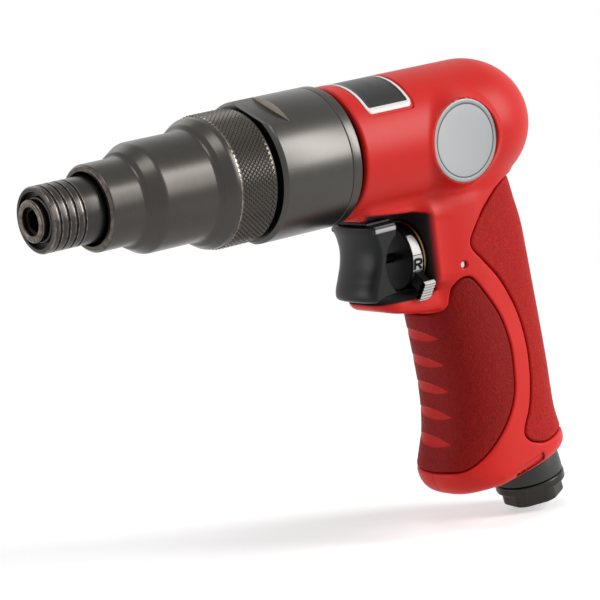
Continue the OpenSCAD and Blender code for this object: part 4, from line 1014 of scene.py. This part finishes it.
def spindle():
    """The spindle with its hex socket, the well of the bit's ball and the clutch's three pockets."""
    outline = [(2, 0), (2, 4.06, 0.1), (0.3, 4.06, 0.15), (0.0, 4.45, 0.2), (0.0, 5.45, 0.3),
               (0.55, SPINDLE_R, 0.4), (2.5, SPINDLE_R, 0.08), (2.5, 5.5, 0.08), (3.7, 5.5, 0.08),
               (3.7, SPINDLE_R, 0.08), (20.6, SPINDLE_R, 0.2), (20.6, 7.5, 0.3), (45.6, 7.5, 0.2),
               (45.6, FLANGE_R, 0.3), (SPINDLE_END, FLANGE_R, 0.3), (SPINDLE_END, 4.03), (40.2, 4.03),
               (40.2, 0)]
    shaft = lathe("spindle_turned", outline, 128)
    socket = mesh_of("socket", *prism(hexagon(BIT_HALF), 1.6, 18.0), smooth=0)
    pockets = [ball_mesh("pocket", (50.9, 9.3 * math.sin(a), 9.3 * math.cos(a)), 2.46)
               for a in (0, 2 * math.pi / 3, 4 * math.pi / 3)]
    well = ball_mesh("well", (6.0, 0, 5.0), 1.9)
    return cut(shaft, [socket, well] + pockets)


def gear_case():
    """The turned case with its two wrench flats, whose normals lean up from the near side."""
    outline = [(CASE_START, 11.2), (CASE_START, 15.9, 0.2), (62.5, 16.4, 0.2), (73.55, 16.4),
               (73.55, 19.95, 0.2), (74.6, CASE_R, 0.9), (98.55, CASE_R, 0.25), (98.55, SPIGOT_R),
               (CASE_END, SPIGOT_R, 0.2), (CASE_END, MOTOR_R + FIT), (85, MOTOR_R + FIT), (85, 13.8),
               (79.7, 13.8), (79.7, 12.02), (74.6, 12.02), (74.6, 11.2)]
    case = lathe("gear_case_turned", outline, 192)
    across = np.array([math.sin(FLAT_TURN), math.cos(FLAT_TURN)])
    mills = []
    for side in (1, -1):
        normal = side * np.array([-math.cos(FLAT_TURN), math.sin(FLAT_TURN)])
        square = [tuple(across * u + normal * v)
                  for u, v in ((-25, FLAT_HALF), (25, FLAT_HALF), (25, 26), (-25, 26))]
        mills.append(mesh_of("mill", *prism(square, 70.0, FLAT_END), smooth=0))
    return cut(case, mills)


def clamp_ring():
    """The narrow ring between the case and the housing."""
    bore = SPIGOT_R + FIT
    outline = [(CLAMP_START, bore), (CLAMP_START, CASE_R, 0.2), (101.7, CASE_R, 0.4), (CLAMP_END, 20.55, 0.3),
               (CLAMP_END, bore)]
    return lathe("clamp_ring_turned", outline, 192)


def label_loop(inset, r):
    """The label's outline, drawn in by an inset and bent over the top of the barrel."""
    rows = 14
    c = max(LABEL_CORNER - inset, 0)
    a, b = LABEL_LONG - inset - c, LABEL_HALF - inset - c
    places = []
    for k, (sx, sy) in enumerate(((1, 1), (-1, 1), (-1, -1), (1, -1))):
        for i in range(9):
            t = math.pi / 2 * (k + i / 8)
            places.append((sx * a + c * math.cos(t), sy * b + c * math.sin(t)))
        if k % 2:
            places += [(sx * (a + c), sy * b * (1 - 2 * i / rows)) for i in range(1, rows)]
    return [(LABEL_X + u, v, math.sqrt(r * r - v * v)) for u, v in places]


def closed_loops(name, loops):
    """A skin through closed loops of points, each loop as long as the next."""
    n = len(loops[0])
    points = [p for loop in loops for p in loop]
    faces = [(i * n + k, i * n + (k + 1) % n, (i + 1) * n + (k + 1) % n, (i + 1) * n + k)
             for i in range(len(loops) - 1) for k in range(n)]
    return mesh_of(name, points, faces, smooth=30)


def label_plate():
    """A plate bent over the top of the barrel, its border a hair above its face."""
    under, face, rim = 19.68, 20.05, 20.08
    levels = [(8.5, under), (6.0, under), (3.0, under), (0.0, under), (0.0, 20.0), (0.12, rim), (0.5, rim),
              (0.88, rim), (0.95, face), (2.6, face), (4.2, face), (6.0, face), (8.5, face)]
    return closed_loops("label_plate_bent", [label_loop(inset, r) for inset, r in levels])


def badge_point(a, b, lift):
    """A point of the badge: a runs along the barrel and b up its side."""
    lean_s, lean_c = math.sin(BADGE_LEAN), math.cos(BADGE_LEAN)
    deep = BADGE_SEAT + lift
    return (BADGE_X + a, -lean_s * b - lean_c * deep, BADGE_DROP + lean_c * b - lean_s * deep)


def badge_disc():
    """A bare disc with a fine groove inside its rim."""
    levels = [(0, 0.08), (4, 0.08), (8, 0.08), (10.6, 0.08), (10.82, 0.07), (10.92, -0.02), (11.08, -0.02),
              (11.18, 0.07), (11.35, 0.1), (11.8, 0.12), (12.2, 0.11), (12.38, 0.05), (12.45, -0.05),
              (12.45, -0.27), (6, -0.27), (0, -0.27)]
    turns = [2 * math.pi * k / 128 for k in range(128)]
    loops = [[badge_point(out * math.cos(a), out * math.sin(a), lift) for a in turns] for out, lift in levels]
    return closed_loops("badge_disc", loops)


def at_inlet(mesh):
    """Turns a mesh made along the barrel's axis onto the inlet's, with stations running down."""
    turn = Matrix(((math.sin(TILT), 0, math.cos(TILT), INLET[0] * MM), (0, 1, 0, 0),
                   (-math.cos(TILT), 0, math.sin(TILT), INLET[1] * MM), (0, 0, 0, 1)))
    mesh.transform(turn)
    return finished(mesh)


def exhaust_collar():
    """The ring above the inlet's flange, with the slots that the air leaves by."""
    outline = [(0, 7.7), (0, 10.5, 0.2), (3.4, 10.8, 0.6), (7.4, 10.9, 0.25), (7.4, 9.5), (1.4, 9.5),
               (1.4, 7.7)]
    collar = lathe("exhaust_collar_turned", outline, 128)
    slots = []
    for turn in range(SLOTS):
        a = math.radians(SLOT_FIRST + SLOT_STEP * turn)
        out, side = np.array([math.sin(a), math.cos(a)]), np.array([math.cos(a), -math.sin(a)])
        square = [tuple(out * u + side * v) for u, v in ((8.3, -0.8), (12, -0.8), (12, 0.8), (8.3, 0.8))]
        slots.append(mesh_of("slot", *prism(square, 2.2, 4.9), smooth=0))
    return at_inlet(cut(collar, slots))


GLYPHS = {
    "R": [[(0, 0), (0, 1)],
          [(0, 0.04), (0.55, 0.04), (0.86, 0.12), (0.95, 0.28), (0.86, 0.44), (0.55, 0.52), (0, 0.52)],
          [(0.45, 0.52), (0.95, 1)]],
    "F": [[(0, 0), (0, 1)], [(0, 0.04), (0.95, 0.04)], [(0, 0.48), (0.75, 0.48)]]}


def letter(name, glyph, sense):
    """A letter of thin strips on the knob's rim. Sense 1 reads from the near side, -1 from the far one."""
    tall, wide = 17.5, 2.7
    turn = LETTER_TURN + (180 if sense == 1 else 0)
    strokes = []
    for stroke in GLYPHS[glyph]:
        places = [(turn + sense * tall * (v - 0.5), KNOB_AT + sense * wide * (u - 0.47)) for u, v in stroke]
        fine = [places[0]]
        for p, q in zip(places, places[1:]):
            fine += [(p[0] + (q[0] - p[0]) * t, p[1] + (q[1] - p[1]) * t) for t in (0.25, 0.5, 0.75, 1)]
        strokes.append(ribbon(fine, 0.38))
    return strip(name, LETTER_R, strokes, 0.1)


def rim_plate(name, rows, sense):
    """A thin plate on the knob's rim from rows of [angle, first station, last station]."""
    start = 180 if sense == 1 else 0
    sides = [(start + sense * a, KNOB_AT + sense * low, KNOB_AT + sense * high) for a, low, high in rows]
    polygon = [(a, low) for a, low, high in sides] + [(a, high) for a, low, high in reversed(sides)]
    return strip(name, MARK_R, [polygon], 0.14)


# The tapered flow mark on the knob's rim, and the pad that its letter stands on
BAND = [(-42, -0.9, 0.3), (-40.5, -1.35, 0.8), (-36, -1.5, 1.05), (-28, -1.6, 1.3), (-18, -1.65, 1.5),
        (-10, -1.68, 1.6), (-6.5, -1.7, 1.65)]
PAD = [(a, -w, w) for a, w in ((-5.2, 1.5), (-4.2, 1.75), (0, 1.78), (5, 1.78), (10, 1.78), (15, 1.78),
                               (19, 1.78), (21.5, 1.75), (22.7, 1.5))]


# Finishes of the pieces

# The sleeve's front edge and groove edges are made pale: partly rubbed wear, partly a painted highlight.
SLEEVE_WEAR_AND_HIGHLIGHT = [(2.2, 0.35)] + [(at + side, 0.2) for at in SLEEVE_GROOVES for side in (-0.5, 0.5)]

paint = red_paint()
# The two grips share one rubber: the front copy is darkened as painted shade, the rear copy lightened as
# painted light.
front_rubber_painted_shade = grip_rubber("front_grip_rubber_painted_shade", 0.68)
rear_rubber_painted_light = grip_rubber("rear_grip_rubber_painted_light", 1.1)
nose_metal = turned_metal("nose_gunmetal", (0.068, 0.063, 0.057), 0.3, 0.3,
                          [(19.3, 0.5)], (0.13, 0.11, 0.095))
knurl_metal = turned_metal("knurl_gunmetal", (0.08, 0.072, 0.064), 0.28, 0.25,
                           [(59.1, 0.45)], (0.24, 0.21, 0.18))
case_metal = turned_metal("case_steel", (0.075, 0.071, 0.066), 0.31)
# The flats' end walls: cut steel made pale and mostly unmetallic, as a painted highlight.
facet_highlight_metal = plain_metal("cut_steel_painted_highlight", (0.62, 0.53, 0.46), 0.5, 1.2, 0.25)
sleeve_metal = turned_metal("sleeve_black_oxide", (0.05, 0.047, 0.045), 0.32, 0.3, SLEEVE_WEAR_AND_HIGHLIGHT)
spindle_metal = turned_metal("spindle_steel", (0.06, 0.052, 0.045), 0.32, 0.3, [(0.1, 0.22), (0.62, 0.2)])
badge_face = badge_metal()
trigger_plastic = trigger_gloss()
knob_plastic = moulded("knob_black", (0.004, 0.004, 0.0045), 0.35, shine=0.2)
marking_grey = moulded("marking_grey", (0.55, 0.55, 0.53), 0.3)
tab_grey = ribbed_grey()
marking_black = moulded("marking_black", (0.004, 0.004, 0.004), 0.5, shine=0.1)
label_black = moulded("label_black", (0.012, 0.012, 0.012), 0.3, depth=0.006, shine=0.3)
label_border = moulded("label_white", (0.8, 0.8, 0.79), 0.35, depth=0.006)
collar_plastic = moulded("collar_black", (0.022, 0.025, 0.024), 0.4, depth=0.01, shine=0.35)
inlet_metal = turned_metal("inlet_gunmetal", (0.04, 0.039, 0.034), 0.35, 0.3)
lip = brass_lip_and_painted_shade()
brass = plain_metal("stem_brass", (0.30, 0.19, 0.06), 0.4)
bronze = plain_metal("bush_bronze", (0.45, 0.27, 0.12), 0.4)
bright_steel = plain_metal("bright_steel", (0.6, 0.6, 0.6), 0.2)
spring_wire = plain_metal("spring_steel", (0.4, 0.4, 0.4), 0.25)
gear_steel = plain_metal("gear_steel", (0.3, 0.3, 0.31), 0.32)
hard_steel = plain_metal("hardened_steel", (0.07, 0.067, 0.065), 0.3)
grey_iron = plain_metal("plate_iron", (0.3, 0.29, 0.28), 0.45, 1.2)
nitrile = moulded("seal_nitrile", (0.015, 0.015, 0.015), 0.5)
felt = moulded("muffler_felt", (0.42, 0.36, 0.27), 0.95, 0.4, 0.2)
fibre = moulded("vane_fibre", (0.22, 0.1, 0.04), 0.6, 0.9, 0.04)
acetal = moulded("valve_acetal", (0.7, 0.66, 0.54), 0.45)

# CAD nodes that keep their own shapes
for finish, names in (
        (bright_steel, ("valve_pin", "carrier_bearing", "rotor_front_bearing", "rotor_rear_bearing",
                        "cylinder_pin", "inlet_screen", "bit_ball", "clutch_balls", "planet_pins",
                        "trigger_pin")),
        (hard_steel, ("thrust_washer", "retaining_ring", "clutch_cam", "adjusting_nut", "rotor")),
        (gear_steel, ("ring_gear", "planet_carrier", "planet_gear_1", "planet_gear_2", "planet_gear_3")),
        (grey_iron, ("front_end_plate", "rear_end_plate", "motor_cylinder")),
        (spring_wire, ("valve_spring", "sleeve_spring", "clutch_spring", "spring_washer")),
        (nitrile, ("bushing_seals", "throttle_seat", "inlet_seal")),
        (bronze, ("nose_bush",)), (lip, ("valve_bushing",)), (felt, ("exhaust_muffler",)),
        (fibre, ("rotor_vanes",)), (knob_plastic, ("trigger_stem",)), (brass, ("throttle_valve",)),
        (acetal, ("reverse_valve",))):
    for name in names:
        dress(frame["nodes"][name].data, finish)

# Springs, each a copy of its CAD wire that rides on a body
for name, body, joint in (("sleeve_spring", "spindle", "sleeve_slide"),
                          ("clutch_spring", "carrier", "clutch_slide"),
                          ("valve_spring", "body", "trigger_slide")):
    low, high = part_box(name)
    coil = show(name + "_wire", frame["nodes"][name].data.copy(), body, spring_wire, "spring_steel", name)
    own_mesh(coil)

shell = skin("housing_shell", housing, (103.6, -21, -123), (181, 21, 21), 0.5)
show("housing_shell", shell, "body", paint, "housing_red", "housing")
panel = skin("front_grip_panel", grip(front_panel), (127, -18.5, -105), (158, 18.5, -40), 0.5)
show("front_grip_panel", panel, "body", front_rubber_painted_shade, "grip_red", "front_grip")
panel = skin("rear_grip_panel", grip(rear_panel), (142, -18.5, -103), (179, 18.5, -12), 0.5)
show("rear_grip_panel", panel, "body", rear_rubber_painted_light, "grip_red", "rear_grip")

show("nose_body", nose_body(), "body", nose_metal, "nose_gunmetal", "nose_housing")
show("knurled_band", knurled_band(), "body", knurl_metal, "nose_gunmetal", "nose_housing")
case = gear_case()
show("gear_case_turned", case, "body", case_metal, "case_steel", "gear_case")
# The end walls of the flats take the pale painted highlight.
pick_faces(case, facet_highlight_metal, lambda x, y, z, normal: abs(x - FLAT_END) < 0.05 and abs(normal.x) > 0.9)
show("clamp_ring_turned", clamp_ring(), "body", case_metal, "case_steel", "clamp_ring")
show("chuck_sleeve_turned", chuck_sleeve(), "sleeve", sleeve_metal, "sleeve_dark", "chuck_sleeve")
show("spindle_turned", spindle(), "spindle", spindle_metal, "spindle_steel", "spindle")

label = label_plate()
show("label_plate_bent", label, "body", label_black, "label_black", "label_plate")
corners = [(LABEL_X + side * LABEL_LONG, side * LABEL_HALF) for side in (-1, 1)]
pick_faces(label, label_border, lambda x, y, z, normal: plate(x, y, *corners, LABEL_CORNER) > -LABEL_BORDER)
show("badge_disc", badge_disc(), "body", badge_face, "badge_silver", "medallion")

shell = skin("trigger_shell", trigger, (106.6, -11, -46.6), (121.4, 11, -21.8), 0.4)
show("trigger_shell", shell, "trigger", trigger_plastic, "trigger_black", "trigger")
knob = skin("reverse_knob_disc", reverse_knob, (124, -18.4, -53.4), (130.4, 18.4, -16.6), 0.35)
show("reverse_knob_disc", knob, "reverser", knob_plastic, "trigger_black", "reverse_knob")
pick_faces(knob, tab_grey, lambda x, y, z, normal: math.hypot(y, z + VALVE_DROP) > TAB_FACE)
for sense, glyph in ((1, "R"), (-1, "F")):
    for name, rows in (("knob_band_" + glyph, BAND), ("knob_pad_" + glyph, PAD)):
        show(name, rim_plate(name, rows, sense), "reverser", marking_grey, "valve_acetal")
    name = "knob_letter_" + glyph
    show(name, letter(name, glyph, sense), "reverser", marking_black, "trigger_black")

show("exhaust_collar_turned", exhaust_collar(), "body", collar_plastic, "collar_black", "exhaust_collar")
fitting = skin("inlet_fitting", inlet_fitting, (154.5, -12, -124.5), (184, 12, -90), 0.35)
show("inlet_fitting", fitting, "body", inlet_metal, "inlet_gunmetal", "inlet_bushing")


# Floor, light and camera, in metres

MIDDLE = Vector((0.09, 0, -0.04))
FLOOR_Z = -0.1236
WORLD = 0.13
AIM = Vector((0.089005, 0, -0.040448))
REACH = 0.9
LENS = 183.65
VIEW_TURN = -37.119
VIEW_HEIGHT = 9.958
VIEW_ROLL = math.radians(-7.227)


def looked_at(finish):
    """One where the camera, gloss or glass looks, and nought where light is gathered."""
    ports = finish.node("ShaderNodeLightPath", {}, {}).port.node.outputs
    rays = [ports[kind] for kind in ("Is Camera Ray", "Is Glossy Ray", "Is Transmission Ray")]
    return finish.largest(*(Socket(finish.tree, port) for port in rays))


def floor():
    """A pale disc under the object that fades out towards its rim."""
    made = bmesh.new()
    bmesh.ops.create_circle(made, cap_ends=True, segments=96, radius=0.7,
                            matrix=Matrix.Translation((MIDDLE.x, 0, FLOOR_Z)))
    mesh = bpy.data.meshes.new("floor")
    made.to_mesh(mesh)
    made.free()
    f = Finish("pale_floor")
    x, y, z = f.axes()
    far = ((x - MIDDLE.x / MM) ** 2 + y ** 2) ** 0.5
    colour = f.mix(f.noise(4) * 0.3, (0.93, 0.93, 0.93), (0.9, 0.9, 0.9))
    glow = f.mix(looked_at(f), (0, 0, 0), (1, 1, 1))
    fade = ((500 - far) / 250).clamp()
    dress(mesh, f.done(colour, 0.7, Alpha=fade, Emission_Color=glow, Emission_Strength=0.45))
    placed("floor", mesh)


def studio_world():
    """White where the camera, gloss and glass look, and softer as light."""
    world = bpy.data.worlds.new("studio")
    world.use_nodes = True
    sky = Socket(world.node_tree)
    sky.tree.nodes.clear()
    strength = WORLD + looked_at(sky) * (1 - WORLD)
    light = sky.node("ShaderNodeBackground", {}, {"Color": (1, 1, 1, 1), "Strength": strength})
    sky.node("ShaderNodeOutputWorld", {}, {"Surface": light})
    bpy.context.scene.world = world


def facing(turn, height):
    """The direction towards an azimuth and a height in degrees."""
    turn, height = math.radians(turn), math.radians(height)
    return Vector((math.sin(turn) * math.cos(height), -math.cos(turn) * math.cos(height), math.sin(height)))


def softbox(name, turn, height, distance, wide, tall, power):
    """An area light that faces the object from an azimuth and a height in degrees."""
    back = facing(turn, height)
    data = bpy.data.lights.new(name, "AREA")
    data.shape = "RECTANGLE"
    data.size, data.size_y = wide, tall
    data.energy = power
    obj = placed(name, data)
    obj.location = MIDDLE + back * distance
    obj.rotation_euler = back.to_track_quat("Z", "Y").to_euler()


def photo_camera():
    """The photo's camera, solved from the outlines of the coaxial steps."""
    back = facing(VIEW_TURN, VIEW_HEIGHT)
    level = facing(VIEW_TURN + 90, 0)
    rise = back.cross(level)
    right = level * math.cos(VIEW_ROLL) + rise * math.sin(VIEW_ROLL)
    up = rise * math.cos(VIEW_ROLL) - level * math.sin(VIEW_ROLL)
    data = bpy.data.cameras.new("camera")
    data.lens = LENS
    data.sensor_width = 36
    data.clip_start = 0.05
    obj = placed("camera", data)
    obj.matrix_world = Matrix((right, up, back)).transposed().to_4x4()
    obj.matrix_world.translation = AIM + back * REACH
    bpy.context.scene.camera = obj


floor()
studio_world()
softbox("key", 42, 21, 1.4, 0.42, 0.95, 18)
softbox("top", -44, 65, 0.8, 0.32, 0.32, 1.6)
softbox("rim", -115, 10, 0.9, 0.4, 0.6, 2.6)
softbox("back", 170, 40, 0.9, 0.6, 0.5, 1.0)
photo_camera()
bpy.context.scene.view_settings.view_transform = "Standard"
